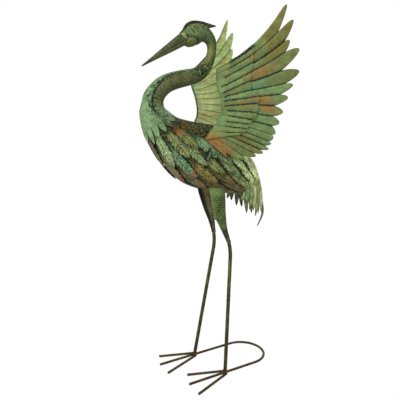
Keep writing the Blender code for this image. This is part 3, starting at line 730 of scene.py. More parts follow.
def neck_masks(stations, degrees):
    """Where the neck is painted pale, brown or black: shares from 0 to 1 by station and angle; the pale on chest and
    nape is painted highlight.
    """
    border = np.interp(stations, *zip(*NECK_BORDER))
    on_body = soft(stations, 8.5, 12.0)
    outer = np.maximum(soft(degrees, border - 8, border + 12) * on_body, soft(stations, 15.0, 18.0))
    seam = bump_at((degrees - border) / 8.0) * soft(stations, 11.0, 12.6) * (1 - 0.3 * soft(stations, 17.0, 18.5))
    chest_highlight = soft(stations, 14.5, 17.6) * soft(degrees, border + 8, border + 52)
    inner = (1 - soft(degrees, border - 25, border)) * on_body * (1 - soft(stations, 14.8, 17.2))
    nape_highlight = soft(stations, 3.8, 5.2) * (1 - soft(stations, 7.8, 9.2)) * (1 - soft(degrees, 25, 75))
    tan = soft(stations, 4.4, 5.6) * (1 - soft(stations, 8.2, 9.4)) * soft(degrees, 80, 120)
    lore = bump_at(np.hypot((stations - 0.22) / 0.22, (degrees - 55) / 26))
    round_cheek = cheek_distance(stations, degrees)
    cheek = 1 - soft(round_cheek, 0.75, 1.1)
    ring = bump_at((round_cheek - 1.08) / 0.10)
    eye = 1 - soft(eye_distance(stations, degrees), 2.6, 4.2)
    head = 1 - soft(stations, 3.2, 4.6)
    bend = np.clip(1.6 * bump_at(np.hypot((stations - 9.3) / 1.1, (degrees - 118) / 45)), 0, 1)
    # Pale mint: painted highlight on the chest and the nape, plus the lore's own pale patch
    pale = chest_highlight + 0.8 * nape_highlight + lore
    above = soft(stations, 3.0, 4.0) * (1 - soft(stations, 7.6, 8.6))
    beside_nape = 0.75 * soft(degrees, 12, 30) * (1 - soft(degrees, 60, 85)) - 0.25 * soft(degrees, 80, 110)
    by_border = on_body * bump_at((degrees - border) / 20) * (1 - 0.8 * soft(stations, 16.0, 18.0))
    marked = 0.35 + above * beside_nape + 0.8 * bend + 0.7 * by_border - 0.25 * head * (1 - lore)
    dashed = on_body * soft(degrees, border - 6, border + 4) * (1 - soft(degrees, border + 26, border + 44))
    dashed = dashed * (1 - soft(stations, 16.0, 18.0))
    dashed = dashed + 0.55 * soft(stations, 15.5, 17.5) * (1 - soft(degrees, 96, 122))
    dashed = dashed + 0.8 * bend + 0.75 * head * (1 - cheek) * (1 - 0.8 * lore) * soft(stations, 0.7, 1.3)
    masks = {"outer": outer, "seam": seam + ring * 0.8, "pale": pale, "inner": inner, "tan": tan + cheek * 0.9,
             "eye": eye, "head": head, "bend": bend, "marked": marked, "dashed": dashed, "lore": lore}
    return {name: np.clip(mask, 0, 1) for name, mask in masks.items()}


def neck_finish():
    """Scaled green and brown paint by the neck's masks, with black strokes along its border."""
    material, tree = new_finish("neck_paint")
    flat, around, along = skin_place(tree)
    warp = (noise(tree, 160.0, 3.0) - 0.5) * 0.004
    line, rise = scales(around + warp, along + warp, 0.0125, 0.0098)
    drift = noise(tree, 34.0, 4.0, offset=1.3)
    dashes = noise(tree, 210.0, 3.0, offset=6.0)
    strokes = []
    for scale in ((210.0, 80.0, 1.0), (80.0, 190.0, 1.0)):
        spot = node(tree, "ShaderNodeMapping", None, {"Vector": flat, "Scale": scale})
        strokes.append(noise(tree, 1.0, 1.5, spot=spot))
    head, marked, dashed, pale, eye = (reading(tree, name) for name in ("head", "marked", "dashed", "pale", "eye"))
    streaks = strokes[0] * (1 - head) + strokes[1] * head
    marks = ease(dashes + line * 0.14, 0.56, 0.64) * (1 - pale * 0.7)
    colour = tint(tree, (0.09, 0.125, 0.045), (0.125, 0.185, 0.085), ease(drift, 0.40, 0.60))
    colour = coats(
        tree, colour,
        ((0.155, 0.26, 0.145), reading(tree, "outer")),
        ((0.115, 0.115, 0.055), reading(tree, "inner") * 0.85),
        ((0.18, 0.18, 0.065), reading(tree, "tan") * 0.85),
        # Mint: painted highlight on the chest and the nape, and the pale lore
        (MINT, pale * ease(drift + streaks * 0.3, 0.42, 0.72)),
        ((0.36, 0.40, 0.18), reading(tree, "lore") * ease(dashes, 0.62, 0.50) * 0.8),
        (BLACK, marks * ease(drift, 0.70, 0.44) * marked),
        # Black on the scales' edges, broken up: painted shadow under each edge
        (BLACK, line * ease(dashes + marked * 0.10, 0.48, 0.58) * marked * (1.2 - pale * 0.8)),
        ((0.17, 0.28, 0.17), ease(streaks, 0.44, 0.36) * dashed * 0.8),
        (BLACK, ease(streaks, 0.555, 0.60) * dashed * 0.95),
        (BLACK, reading(tree, "bend") * ease(dashes, 0.44, 0.52) * 0.95),
        (BLACK, reading(tree, "seam") * ease(dashes + drift * 0.3, 0.44, 0.56) * 0.95),
        # Painted shade: black in the hem's slots and under the collar
        (BLACK, reading(tree, "slot")),
        ((0.02, 0.018, 0.012), eye),
    )
    colour, roughness, metallic, height = weather(tree, colour, rise - line * 0.6, 0.35, rust=0.12, dark=0.45,
                                                  rough=0.60, metal=0.04)
    roughness = roughness - eye * 0.25
    return close_finish(material, colour, roughness, metallic, height, gloss=0.06)


def build_neck():
    """One sheet: head, neck and collar outside, then back under the collar."""
    columns = 252
    angles = turns(columns)
    degrees = span(angles)
    tips, cuts, away = hem(degrees)
    controls = [neck_ring(float(station), angles) for station in range(len(NECK))]

    def collar(share, lift):
        reach = tips * share - cuts * np.clip((share - 0.55) / 0.45, 0, 1)
        ripple = 0.0012 * np.cos(np.pi * away) * share**2
        flare = np.interp(degrees, (0, 60, 120), (0.10, 0.45, 1.0)) * COLLAR_LIFT
        return trunk_points(reach, angles, lift + flare * share + ripple)

    controls.extend(collar(share, GAP + COLLAR_SHEET) for share in np.linspace(0, 1, COLLAR_ROWS))
    stations = np.concatenate([np.linspace(0, 2, 56), np.linspace(2, NECK_END, 132)[1:],
                               np.linspace(NECK_END, HEM_END, 56)[1:]])
    stacked = np.array(controls).reshape(len(controls), -1)
    grid = through(stacked, stations).reshape(len(stations), columns, 3)
    grid[0] = controls[0]
    for row, station in enumerate(stations):
        if station < HEAD_RELIEF_END:
            centre = grid[row].mean(axis=0)
            away_from = grid[row] - centre
            away_from /= np.linalg.norm(away_from, axis=1)[:, None]
            grid[row] += away_from * head_lift(station, degrees)[:, None]
    edge = np.clip((stations - HEM_END + 2.0) / 2.0, 0, 1)[:, None]
    # Painted shade: black towards the hem's slots, and all over the collar's underside below
    slot = edge**2 * away[None, :] ** 7
    inside = [collar(share, GAP) for share in np.linspace(1, 0.1, 16)]
    inside.append(trunk_points(0.05, angles, GAP))
    full = np.concatenate([grid, np.array(inside)])
    all_stations = np.concatenate([stations, np.full(len(inside), float(HEM_END))])
    masks = neck_masks(all_stations[:, None], degrees[None, :])
    values = {name: np.broadcast_to(mask, full.shape[:2]) for name, mask in masks.items()}
    values["slot"] = np.concatenate([slot, np.ones((len(inside), columns))])
    item = loft("neck_sheet", full, neck_finish(), values, skin_map(full, 0.138))
    stand_for(item, "verdigris_sheet", "neck_and_head")


def beak_finish():
    material, tree = new_finish("beak_paint")
    streaks = noise(tree, 60.0, 4.0, spot=place(tree, (1.0, 6.0, 6.0)))
    colour = tint(tree, (0.048, 0.060, 0.030), (0.085, 0.105, 0.052), ease(streaks, 0.40, 0.62))
    colour = coats(
        tree, colour,
        ((0.15, 0.155, 0.065), reading(tree, "lower") * 0.65),
        ((0.02, 0.02, 0.014), reading(tree, "groove") * 0.8),
        ((0.05, 0.048, 0.032), reading(tree, "tip") * 0.8),
    )
    return close_finish(material, *weather(tree, colour, streaks, 0.12, rust=0.10, dark=0.5, rough=0.42))


def build_beak():
    seat, tip = np.array(NECK[0][:2]), np.array(BEAK_TIP)
    along = (tip - seat) / np.linalg.norm(tip - seat)
    length = float(np.linalg.norm(tip - seat))
    up = np.array([-along[1], along[0]])
    up = up if up[1] > 0 else -up
    angles = turns(56)
    degrees = span(angles)
    c, s = np.cos(angles), np.sin(angles)
    shares = np.concatenate([[GAP / length, 0.006], np.linspace(0.02, 0.985, 60), [0.994, 1.0 - GAP / length]])
    rings, lower, groove = [], [], []
    for share in shares:
        radius = BEAK_BASE_RADIUS + (BEAK_TIP_RADIUS - BEAK_BASE_RADIUS) * share
        radius *= 1.0 + 0.035 * math.sin(math.pi * min(1.0, share * 1.15))
        if share > 0.99:
            radius *= 0.72
        cut = bump_at((degrees - 97) / 7.0) * min(1.0, (1 - share) * 6)
        ridge = bump_at(degrees / 20.0)
        nostril = bump_at(np.hypot((share - 0.13) / 0.045, (degrees - 66) / 10))
        reach = radius * (1 - 0.07 * cut + 0.03 * ridge - 0.05 * nostril)
        x, z = seat + along * length * share
        rings.append(np.stack([x + up[0] * reach * c, NECK_FLATNESS * reach * s, z + up[1] * reach * c], axis=-1))
        lower.append((degrees > 97) * 1.0)
        groove.append(np.clip(cut + nostril, 0, 1))
    grid = np.array(rings)
    values = {"lower": np.array(lower), "groove": np.array(groove),
              "tip": np.broadcast_to(np.clip(shares * 4 - 3, 0, 1)[:, None], grid.shape[:2])}
    item = loft("beak_cone", grid, beak_finish(), values, None, 60.0)
    stand_for(item, "olive_sheet", "beak")


def crest_finish():
    material, tree = new_finish("crest_paint")
    streaks = noise(tree, 260.0, 3.0, spot=place(tree, (1.0, 2.0, 3.0)))
    colour = tint(tree, (0.018, 0.020, 0.012), (0.050, 0.046, 0.024), ease(streaks, 0.48, 0.66))
    colour = tint(tree, colour, (0.11, 0.065, 0.035), reading(tree, "root") * 0.6)
    return close_finish(material, *weather(tree, colour, streaks, 0.4, rust=0.08, dark=0.4, rough=0.50))


def build_crest():
    """Plume on the crown: a strap along the head whose top runs on in a straight line to a free end."""
    tip = np.array([CREST_TIP[0], 0.0, CREST_TIP[1]])
    peak = neck_ring(CREST_LEAVES, np.array([0.0]), CREST_HEIGHT)[0]
    rows = []
    for station in CREST_STATIONS:
        foot = neck_ring(station, np.array([0.0]), -0.0015 - 0.0012 * station)[0]
        top = neck_ring(station, np.array([0.0]), CREST_HEIGHT * min(0.95, 0.30 + 0.45 * station))[0]
        if station > CREST_LEAVES:
            top = peak + (tip - peak) * (foot[0] - peak[0]) / (tip[0] - peak[0])
        rows.append([*foot, *top])
    last = np.array(rows[-1])
    end = np.array([*(tip - [0.0, 0.0, 0.0034]), *tip])
    rows.extend((last + (end - last) * share).tolist() for share in (0.35, 0.70, 1.0))
    shares = np.linspace(0, 1, len(rows))
    widths = np.interp(shares, (0, 0.25, 0.65, 1.0), (0.5, 1.25, 0.9, 0.35))
    fine = through(np.column_stack([rows, widths]), np.linspace(0, len(rows) - 1, 110))
    turn = turns(28)
    lift = 0.5 - 0.5 * np.cos(turn)
    rings = []
    for row in fine:
        side = row[6] * CREST_WIDTH / 2 * np.sin(turn) * (1.5 - 0.8 * lift)
        rings.append(row[:3] + (row[3:6] - row[:3]) * lift[:, None] + side[:, None] * [0.0, 1.0, 0.0])
    grid = np.array(rings)
    root = np.broadcast_to(np.clip(np.linspace(-3, 2, len(fine)), 0, 1)[:, None], grid.shape[:2])
    item = loft("crest_plume", grid, crest_finish(), {"root": root})
    stand_for(item, "black_brown", "crest")


# ---------------------------------------------------------------- leaf feathers

# Each row: its root and tip station, then the root and tip angle from the back of each leaf on one side.
# Leaves at 180 are single.
LEAF_ROWS = (
    ((1.50, 3.78), ((180, 180), (143, 152), (115, 118), (91, 97))),
    ((2.45, 4.85), ((162, 166), (134, 138), (101, 110), (78, 89))),
    ((3.70, 6.15), ((180, 180), (146, 152), (118, 130), (96, 107), (74, 84))),
    ((4.85, 7.35), ((164, 166), (136, 142), (108, 118), (83, 97), (62, 77), (42, 56))),
    ((6.30, 8.85), ((180, 180), (150, 155), (124, 130), (97, 108), (72, 86), (48, 62), (25, 36))),
    ((7.55, 10.0), ((165, 168), (138, 142), (110, 116), (83, 90), (58, 66), (34, 42), (10, 14))),
)
LEAF_HALF_WIDTH = (0.0162, 0.0160, 0.0160, 0.0154, 0.0145, 0.0130)
# Paint of each leaf, the strength they are all given, and how much of a leaf blushes red
LEAF_PAINTS = (
    ((0.13, 0.125, 0.055), (0.25, 0.35, 0.21), (0.17, 0.20, 0.09), (0.13, 0.14, 0.06)),
    ((0.20, 0.23, 0.13), (0.13, 0.24, 0.16), (0.17, 0.23, 0.12), (0.12, 0.20, 0.12)),
    ((0.13, 0.10, 0.04), (0.15, 0.15, 0.075), (0.17, 0.15, 0.05), (0.14, 0.17, 0.075), (0.12, 0.18, 0.09)),
    # Rows 4 to 6: the upper rear leaves below the wings are painted lighter than their paint, as painted light against
    # the wings' shadow
    ((0.12, 0.09, 0.035), (0.13, 0.10, 0.04), (0.13, 0.12, 0.05), (0.14, 0.19, 0.095), (0.30, 0.38, 0.20),
     (0.52, 0.60, 0.33)),
    ((0.10, 0.08, 0.03), (0.11, 0.085, 0.032), (0.13, 0.12, 0.05), (0.20, 0.24, 0.11), (0.38, 0.46, 0.25),
     (0.62, 0.70, 0.42), (0.56, 0.64, 0.38)),
    ((0.11, 0.08, 0.035), (0.12, 0.09, 0.04), (0.24, 0.24, 0.12), (0.44, 0.49, 0.25), (0.58, 0.64, 0.35),
     (0.60, 0.66, 0.37), (0.50, 0.55, 0.30)),
)
LEAF_STRENGTH = 1.36
LEAF_BLUSH = (
    (0.9, 0.45, 0.1, 0.0), (0.9, 0.7, 0.2, 0.0), (0.5, 0.8, 0.5, 0.1, 0.0),
    (0.3, 0.4, 0.5, 0.1, 0.0, 0.0), (0.2, 0.25, 0.25, 0.1, 0.0, 0.0, 0.0), (0.2, 0.2, 0.1, 0.0, 0.0, 0.0, 0.0),
)


def leaf_finish():
    """Each leaf in its own paint, with black rib and veins, red tips where it blushes, and painted shade on its root
    and edges where leaves overlap.
    """
    material, tree = new_finish("leaf_paint")
    across, along, width = (reading(tree, name) for name in ("across", "along", "half_width"))
    paint = reading(tree, "paint", "Color")
    blush, chance = reading(tree, "blush"), reading(tree, "chance")
    off = across.math("ABSOLUTE")
    reach = off * width
    wobble = noise(tree, 200.0, 3.0) - 0.5
    patches = noise(tree, 48.0, 4.0, offset=2.2)
    rib = ease(reach, 0.0014, 0.0006)
    vein = ((along * 11 - off * 1.5 + wobble * 1.5 + chance).math("FRACT") - 0.5).math("ABSOLUTE")
    line = ease(vein, 0.25, 0.08) * ease(off, 0.05, 0.14) * ease(off, 1.0, 0.84)
    stroke = ease(noise(tree, 360.0, 2.0, offset=7.0), 0.50, 0.60)
    red_tip = ease(patches * 0.5 + along + wobble * 0.5, 1.04, 1.14)
    quill = ease(reach, 0.0036, 0.0024) * ease(reach, 0.0012, 0.0018)
    colour = tint(tree, paint, (1.45, 1.5, 1.4), ease(along * 0.5 + patches, 0.62, 0.95) * 0.8, "MULTIPLY")
    colour = coats(
        tree, colour,
        ((0.62, 0.60, 0.48), ease(patches, 0.50, 0.36) * 0.65, "MULTIPLY"),
        (BLUSH, blush * ease(patches + along * 0.14, 0.60, 0.70) * 0.8),
        ((0.50, 0.14, 0.09), ease(blush, 0.35, 0.75) * red_tip * 0.85),
        ((0.24, 0.12, 0.045), ease(noise(tree, 60.0, 3.0, offset=8.0), 0.60, 0.72) * 0.5),
        (BLACK, line * (0.50 + ease(patches, 0.60, 0.42) * 0.42)),
        (BLACK, stroke * ease(off, 0.35, 0.75) * 0.6),
        ((0.26, 0.125, 0.045), reading(tree, "warm") * ease(along, 0.50, 0.30) * 0.9),
        # Painted shade: darker root, where the leaf above lies over it
        (BLACK, ease(along + patches * 0.3, 0.55, 0.25) * reading(tree, "shaded")),
        ((1.55, 1.6, 1.45), quill * ease(along, 0.95, 0.80) * 0.8, "MULTIPLY"),
        (BLACK, rib * 0.95),
        # Painted shade: black edges, where one leaf lies over the next
        (BLACK, ease(off + wobble * 0.3, 0.80, 0.95) * 0.9),
    )
    relief = ease(vein, 0.05, 0.35) * 0.7 + ease(reach, 0.0024, 0.0008) * 0.8 - rib
    return close_finish(material, *weather(tree, colour, relief, 0.55, rust=0.16, dark=0.5, rough=0.50))


def leaf_template():
    """One lobed leaf on a unit grid: x across from -1 to 1, y along from 0 to 1, z its relief in metres."""
    rows, columns, lobes = 50, 13, 7
    y, x = np.meshgrid(np.linspace(0, 1, rows), np.linspace(-1, 1, columns), indexing="ij")
    body = (0.42 + 0.58 * np.sin(math.pi / 2 * np.minimum(1, y / 0.52)))
    body = body * (1 - np.clip((y - 0.46) / 0.54, 0, 1) ** 2.3) ** 0.62
    lobe = np.abs(np.sin(math.pi * lobes * y))
    out = body * (1 - 0.27 * (1 - lobe**0.8) * np.abs(x) ** 2 * np.minimum(1, y * 4))
    points = np.stack([x * np.maximum(out, 0.015), y + 0.028 * np.abs(x) * np.sin(math.pi * y),
                       0.0011 * (1 - x**2) + LEAF_RIB * bump_at(x / 0.11) * (1 - y * 0.4)
                       + 0.0005 * np.cos(2 * math.pi * lobes * y) * np.abs(x) ** 2], axis=-1)
    faces, _ = grid_faces(rows, columns)
    mesh = bpy.data.meshes.new("leaf_template")
    mesh.from_pydata(points.reshape(-1, 3).tolist(), [], faces.tolist())
    add_values(mesh, {"across": x, "along": y})
    return helper("leaf_template", mesh)


def helper(name, mesh):
    """Object that only feeds a geometry tree."""
    item = put(name, mesh)
    item.hide_render = True
    return item


def trunk_skin():
    """Trunk surface cut open along the back and laid out by station and angle, for the leaves to follow."""
    stations = np.linspace(0.2, len(TRUNK) - 1, 130)
    angles = np.linspace(-0.9, 2 * math.pi + 0.9, 200)
    s, a = np.meshgrid(stations, angles, indexing="ij")
    points = trunk_points(s, a, 0.0)
    away = trunk_points(s, a, 0.01) - points
    away /= np.linalg.norm(away, axis=-1)[..., None]
    faces, places = grid_faces(*s.shape)
    mesh = bpy.data.meshes.new("trunk_skin")
    mesh.from_pydata(points.reshape(-1, 3).tolist(), [], faces.tolist())
    flat = np.stack([s, a], axis=-1)[places[..., 0], places[..., 1]] / LEAF_MAP_SCALE
    mesh.uv_layers.new(name="laid_out").data.foreach_set("uv", flat.astype(np.float32).ravel())
    mesh.attributes.new("away", "FLOAT_VECTOR", "POINT").data.foreach_set("vector", away.astype(np.float32).ravel())
    return helper("trunk_skin", mesh)


def open_group(name, inputs):
    """Geometry tree with a Geometry socket each way and the named inputs. Returns it and a reader of its inputs."""
    tree = bpy.data.node_groups.new(name, "GeometryNodeTree")
    for label, kind in {"Geometry": "Geometry", **inputs}.items():
        tree.interface.new_socket(label, in_out="INPUT", socket_type=f"NodeSocket{kind}")
    tree.interface.new_socket("Geometry", in_out="OUTPUT", socket_type="NodeSocketGeometry")
    entry = tree.nodes.new("NodeGroupInput")
    return tree, lambda label: Wire(tree, entry.outputs[label])


def close_group(tree, shape, finish):
    painted = node(tree, "GeometryNodeSetMaterial", None, {"Geometry": shape, "Material": finish})
    tree.links.new(painted.socket, tree.nodes.new("NodeGroupOutput").inputs[0])
    return tree


def leaf_tree():
    """Lays a leaf on the trunk for each point: it follows the skin from its root to its tip, and lifts on the way."""
    tree, given = open_group("leaves_on_skin", {
        "Leaf": "Object", "Skin": "Object", "Root lift": "Float", "Tip lift": "Float", "Tilt": "Float",
        "Finish": "Material",
    })

    def named(name, kind="FLOAT"):
        return node(tree, "GeometryNodeInputNamedAttribute", {"data_type": kind}, {"Name": name})

    leaf = node(tree, "GeometryNodeObjectInfo", None, {"Object": given("Leaf")}, "Geometry")
    skin = node(tree, "GeometryNodeObjectInfo", None, {"Object": given("Skin")}, "Geometry")
    laid = node(tree, "GeometryNodeInstanceOnPoints", None, {"Points": given("Geometry"), "Instance": leaf})
    real = node(tree, "GeometryNodeRealizeInstances", None, {"Geometry": laid})
    spot = node(tree, "GeometryNodeInputPosition")
    x = node(tree, "ShaderNodeSeparateXYZ", None, {0: spot}, 0)
    y, z = (Wire(tree, x.socket.node.outputs[axis]) for axis in (1, 2))

    def on_leaf(what):
        root, tip, aside = (named(f"{part}_{what}") for part in ("root", "tip", "aside"))
        return root + (tip - root) * y + x * named("half_width") * aside

    station, angle = on_leaf("station").math("MINIMUM", len(TRUNK) - 1.0), on_leaf("angle")
    flat = node(tree, "ShaderNodeCombineXYZ", None, {0: station / LEAF_MAP_SCALE, 1: angle / LEAF_MAP_SCALE})
    layout = named("laid_out", "FLOAT_VECTOR")
    settings = {"data_type": "FLOAT_VECTOR"}
    ground = node(tree, "GeometryNodeSampleUVSurface", settings,
                  {"Mesh": skin, "Value": node(tree, "GeometryNodeInputPosition"), "UV Map": layout, "Sample UV": flat})
    away = node(tree, "GeometryNodeSampleUVSurface", settings,
                {"Mesh": skin, "Value": named("away", "FLOAT_VECTOR"), "UV Map": layout, "Sample UV": flat})
    lift = given("Root lift") + (given("Tip lift") * y) * named("curl") + x * given("Tilt") + z + named("level")
    raised = node(tree, "ShaderNodeVectorMath", {"operation": "SCALE"}, {0: away, "Scale": lift})
    final = node(tree, "ShaderNodeVectorMath", {"operation": "ADD"}, {0: ground, 1: raised})
    moved = node(tree, "GeometryNodeSetPosition", None, {"Geometry": real, "Position": final})
    return close_group(tree, moved, given("Finish"))


def feed(item, name, tree, values):
    """Add the tree as a modifier and set its inputs by their identifiers."""
    work = item.modifiers.new(name, "NODES")
    work.node_group = tree
    for socket in tree.interface.items_tree:
        if socket.in_out == "INPUT" and socket.name in values:
            work[socket.identifier] = values[socket.name]


def leaf_list(number):
    """The values of each leaf of a row, on both sides, as the leaf tree and the finish read them."""
    random = np.random.default_rng(40 + number)
    (root, tip), pairs = LEAF_ROWS[number]
    leaves = []
    for index, (root_angle, tip_angle) in enumerate(pairs):
        for side in (1,) if root_angle == 180 else (1, -1):
            nudge = random.uniform(-0.12, 0.12, 2)
            shade = random.uniform(0.88, 1.12)
            leaves.append({
                "root_station": root + nudge[0],
                "tip_station": min(tip + nudge[1], LEAF_LAST_STATION),
                "root_angle": math.pi + side * math.radians(180 - root_angle),
                "tip_angle": math.pi + side * math.radians(180 - tip_angle),
                "half_width": LEAF_HALF_WIDTH[number] * random.uniform(0.95, 1.06),
                "curl": random.uniform(0.85, 1.0),
                "level": 0.0005 * (index % 2),
                "blush": LEAF_BLUSH[number][index] * random.uniform(0.8, 1.1),
                "chance": random.uniform(0, 1),
                # Strength of the painted shade at the leaf's root
                "shaded": 0.75 if number < 3 else 0.35,
                "warm": 1.0 if number == 0 and index == 3 else 0.0,
                "paint": np.array(LEAF_PAINTS[number][index]) * shade * LEAF_STRENGTH * PAINT_DEPTH,
            })
    return leaves


def build_leaves():
    template, skin, tree, finish = leaf_template(), trunk_skin(), leaf_tree(), leaf_finish()
    for number in range(len(LEAF_ROWS)):
        leaves = leaf_list(number)
        for leaf in leaves:
            middle_s = (leaf["root_station"] + leaf["tip_station"]) / 2
            middle_a = (leaf["root_angle"] + leaf["tip_angle"]) / 2
            here = trunk_points(middle_s, middle_a, 0.004)
            per_angle = np.linalg.norm(trunk_points(middle_s, middle_a + 0.02, 0.004) - here) / 0.02
            per_station = np.linalg.norm(trunk_points(middle_s + 0.02, middle_a, 0.004) - here) / 0.02
            run = np.array([(leaf["tip_angle"] - leaf["root_angle"]) * per_angle,
                            (leaf["tip_station"] - leaf["root_station"]) * per_station])
            run /= np.linalg.norm(run)
            leaf["aside_angle"] = run[1] / per_angle
            leaf["aside_station"] = -run[0] / per_station
        mesh = bpy.data.meshes.new(f"leaf_layer_{number + 1}")
        mesh.from_pydata([(0.0, 0.0, 0.0)] * len(leaves), [], [])
        add_values(mesh, {name: [leaf[name] for leaf in leaves] for name in leaves[0]})
        item = put(mesh.name, mesh)
        feed(item, "leaves", tree, {"Leaf": template, "Skin": skin, "Root lift": LEAF_ROOT_LIFT,
                                    "Tip lift": LEAF_TIP_LIFT, "Tilt": 0.0006, "Finish": finish})
        add_wall(item, LEAF_SHEET, 1.0)
        settle(item)
        item.data.transform(Matrix.Translation(SHIFT))
        outward(item.data)
        smooth(item.data)
        stand_for(item, "leaf_sheet", f"leaf_row_{number + 1}")
    for item in (template, skin):
        bpy.data.objects.remove(item)


# ---------------------------------------------------------------- wings

def wing_spread(x, z):
    """Half spread |y| of the wing's middle surface over a side-view point."""
    dx, dz = x - WING_ROOT[0], z - WING_ROOT[1]
    flare = WING_FLARE * np.maximum(0.0, WING_FLARE_TOP - z)
    flare = flare * np.clip(1 - (x - WING_ROOT_EDGE[-1][0]) / WING_FLARE_REACH, 0.0, 1.0)
    bend = WING_BEND[0] * dx**2 + WING_BEND[1] * dz**2
    return WING_HALF_SPREAD + WING_SLOPE[0] * dx + WING_SLOPE[1] * dz - bend + flare


def feather_fan(tips, notches, root_edge, bow, columns, rows, spacing):
    """Side-view grid of a fan of round-ended feathers, and the place of each point on its feather."""
    count = len(tips)
    tips, notches = np.array(tips), np.array(notches)
    first = root_edge[0] + (tips[0] - root_edge[0]) * FAN_MARGIN
    last = root_edge[-1] + (tips[-1] - root_edge[-1]) * FAN_MARGIN
    ends, starts, across, numbers = [], [], [], []
    for index in range(count):
        above = notches[index - 1] if index else first
        below = notches[index] if index < count - 1 else last
        steps = columns + 1 if index == count - 1 else columns
        for step in range(steps):
            t = 2 * step / columns - 1
            dome = (1 - abs(t) ** 1.8) ** 0.75 if abs(t) < 1 else 0.0
            base = above + (below - above) * (t + 1) / 2
            ends.append(base + (tips[index] - (above + below) / 2) * dome)
            starts.append((index + (t + 1) / 2) / count)
            across.append(t)
            numbers.append(index)
    ends, starts = np.array(ends), np.array(starts)
    roots = through(root_edge, np.interp(starts, *spacing) * (len(root_edge) - 1))
    bend = bow * np.maximum(0.0, 1 - FLIGHT_BOW_FADE * starts)
    shares = np.linspace(0, 1, rows)[:, None, None]
    run = ends - roots
    aside = np.stack([run[:, 1], -run[:, 0]], axis=-1)
    flat = roots + run * shares + aside * (bend[:, None] * 4 * shares * (1 - shares))
    return flat, np.array(across), np.array(numbers)


def feather_values(flat, numbers, columns, seed):
    """What the finish reads: distance to the feather's side and end, place along it and a tone for each feather."""
    rows = flat.shape[0]
    gap = np.zeros(flat.shape[:2])
    for index in range(numbers.max() + 1):
        first = index * columns
        part = flat[:, first:first + columns + 1]
        width = np.linalg.norm(part[:, -1] - part[:, 0], axis=-1)[:, None]
        local = (1 - np.abs(np.linspace(-1, 1, columns + 1)))[None, :] * width / 2
        gap[:, first:first + columns + 1] = local
    length = np.linalg.norm(flat[-1] - flat[0], axis=-1)[None, :]
    share = np.broadcast_to(np.linspace(0, 1, rows)[:, None], gap.shape)
    tone = np.random.default_rng(seed).uniform(0, 1, numbers.max() + 1)[numbers]
    return {"gap": gap, "share": share, "end": (1 - share) * length, "tone": np.broadcast_to(tone, gap.shape)}


def spots(flat, marks):
    """Sum of soft spots (x, z, length, width, lean in degrees) over a side-view grid."""
    total = np.zeros(flat.shape[:2])
    for x, z, long, wide, lean in marks:
        turn = math.radians(lean)
        dx, dz = flat[..., 0] - x, flat[..., 1] - z
        u = dx * math.cos(turn) + dz * math.sin(turn)
        v = dz * math.cos(turn) - dx * math.sin(turn)
        total += bump_at(np.hypot(u / long, v / wide))
    return np.clip(total, 0, 1)


# Orange and golden patches of the outer face: x, z, half length, half width and lean in degrees
RUSTY = (
    (0.092, 0.920, 0.042, 0.014, 22.0),
    (0.063, 0.962, 0.014, 0.007, 30.0),
    (0.118, 0.845, 0.024, 0.012, 0.0),
    (0.130, 0.821, 0.034, 0.011, -10.0),
    (0.085, 0.853, 0.012, 0.006, 0.0),
    (-0.036, 0.731, 0.030, 0.026, -40.0),
    (-0.008, 0.708, 0.034, 0.022, -42.0),
    (0.014, 0.694, 0.024, 0.016, -38.0),
    (0.058, 0.834, 0.016, 0.006, -5.0),
)
GOLDEN = (
    (0.148, 1.062, 0.050, 0.014, 62.0),
    (0.166, 1.030, 0.040, 0.014, 55.0),
    (0.140, 0.990, 0.030, 0.016, 45.0),
    (0.120, 0.960, 0.040, 0.012, 30.0),
    (0.075, 0.800, 0.030, 0.012, -20.0),
    (0.110, 0.700, 0.030, 0.012, -35.0),
    (0.060, 0.735, 0.045, 0.020, -30.0),
)


def wing_finish(name, heavy):
    """Outer face of the feathers. Heavy is how thick the black lines between them are."""
    material, tree = new_finish(name)
    gap, share, end, tone = (reading(tree, key) for key in ("gap", "share", "end", "tone"))
    wobble = noise(tree, 210.0, 4.0, rough=0.65)
    patches = noise(tree, 40.0, 4.0, offset=2.6)
    brushed = noise(tree, 30.0, 3.0, spot=place(tree, (0.6, 1.0, 2.6)))
    colour = tint(tree, (0.16, 0.245, 0.095), (0.215, 0.31, 0.135), ease(brushed, 0.38, 0.62))
    colour = coats(
        tree, colour,
        ((0.15, 0.16, 0.06), ease(tone + patches, 1.0, 1.5) * 0.8),
        (TEAL, ease(gap, 0.0085, 0.0008) * ease(patches, 0.42, 0.58) * 0.85),
    )
    rusty = reading(tree, "rusty") * ease(patches * 0.5 + wobble, 0.50, 0.74)
    teal = reading(tree, "teal") * ease(patches + wobble * 0.4, 0.60, 0.80)
    colour = coats(
        tree, colour,
        ((0.13, 0.30, 0.18), teal * 0.8),
        (GOLD, reading(tree, "gold") * ease(patches + wobble * 0.3, 0.44, 0.66)),
        ((0.31, 0.155, 0.050), rusty),
        ((0.30, 0.18, 0.06), ease(noise(tree, 46.0, 4.0, offset=6.4), 0.57, 0.68) * 0.5),
    )
    thick = ease(wobble, 0.34, 0.62) * heavy
    begun = ease(share - reading(tree, "start") + (wobble - 0.5) * 0.25, 0.0, 0.08)
    line = ease(gap - thick, 0.0006, 0.0) * begun * ease(end, 0.0, 0.004)
    outline = ease(end - wobble * 0.0016, 0.0014, 0.0002) * reading(tree, "outline") * ease(share, 0.15, 0.35)
    colour = coats(
        tree, colour,
        ((0.045, 0.06, 0.03), ease(gap - thick, 0.0030, 0.0) * begun * 0.55),
        (BLACK, line * 0.95),
        ((0.05, 0.055, 0.03), outline),
        (BLACK, reading(tree, "leading") * ease(gap - wobble * 0.0030, 0.0012, 0.0) * 0.9),
    )
    relief = ease(gap, 0.0, 0.0030) + brushed * 0.15 - line * 0.5
    return close_finish(material, *weather(tree, colour, relief, 0.55, rust=0.10, dark=0.30, rough=0.52, metal=0.10))


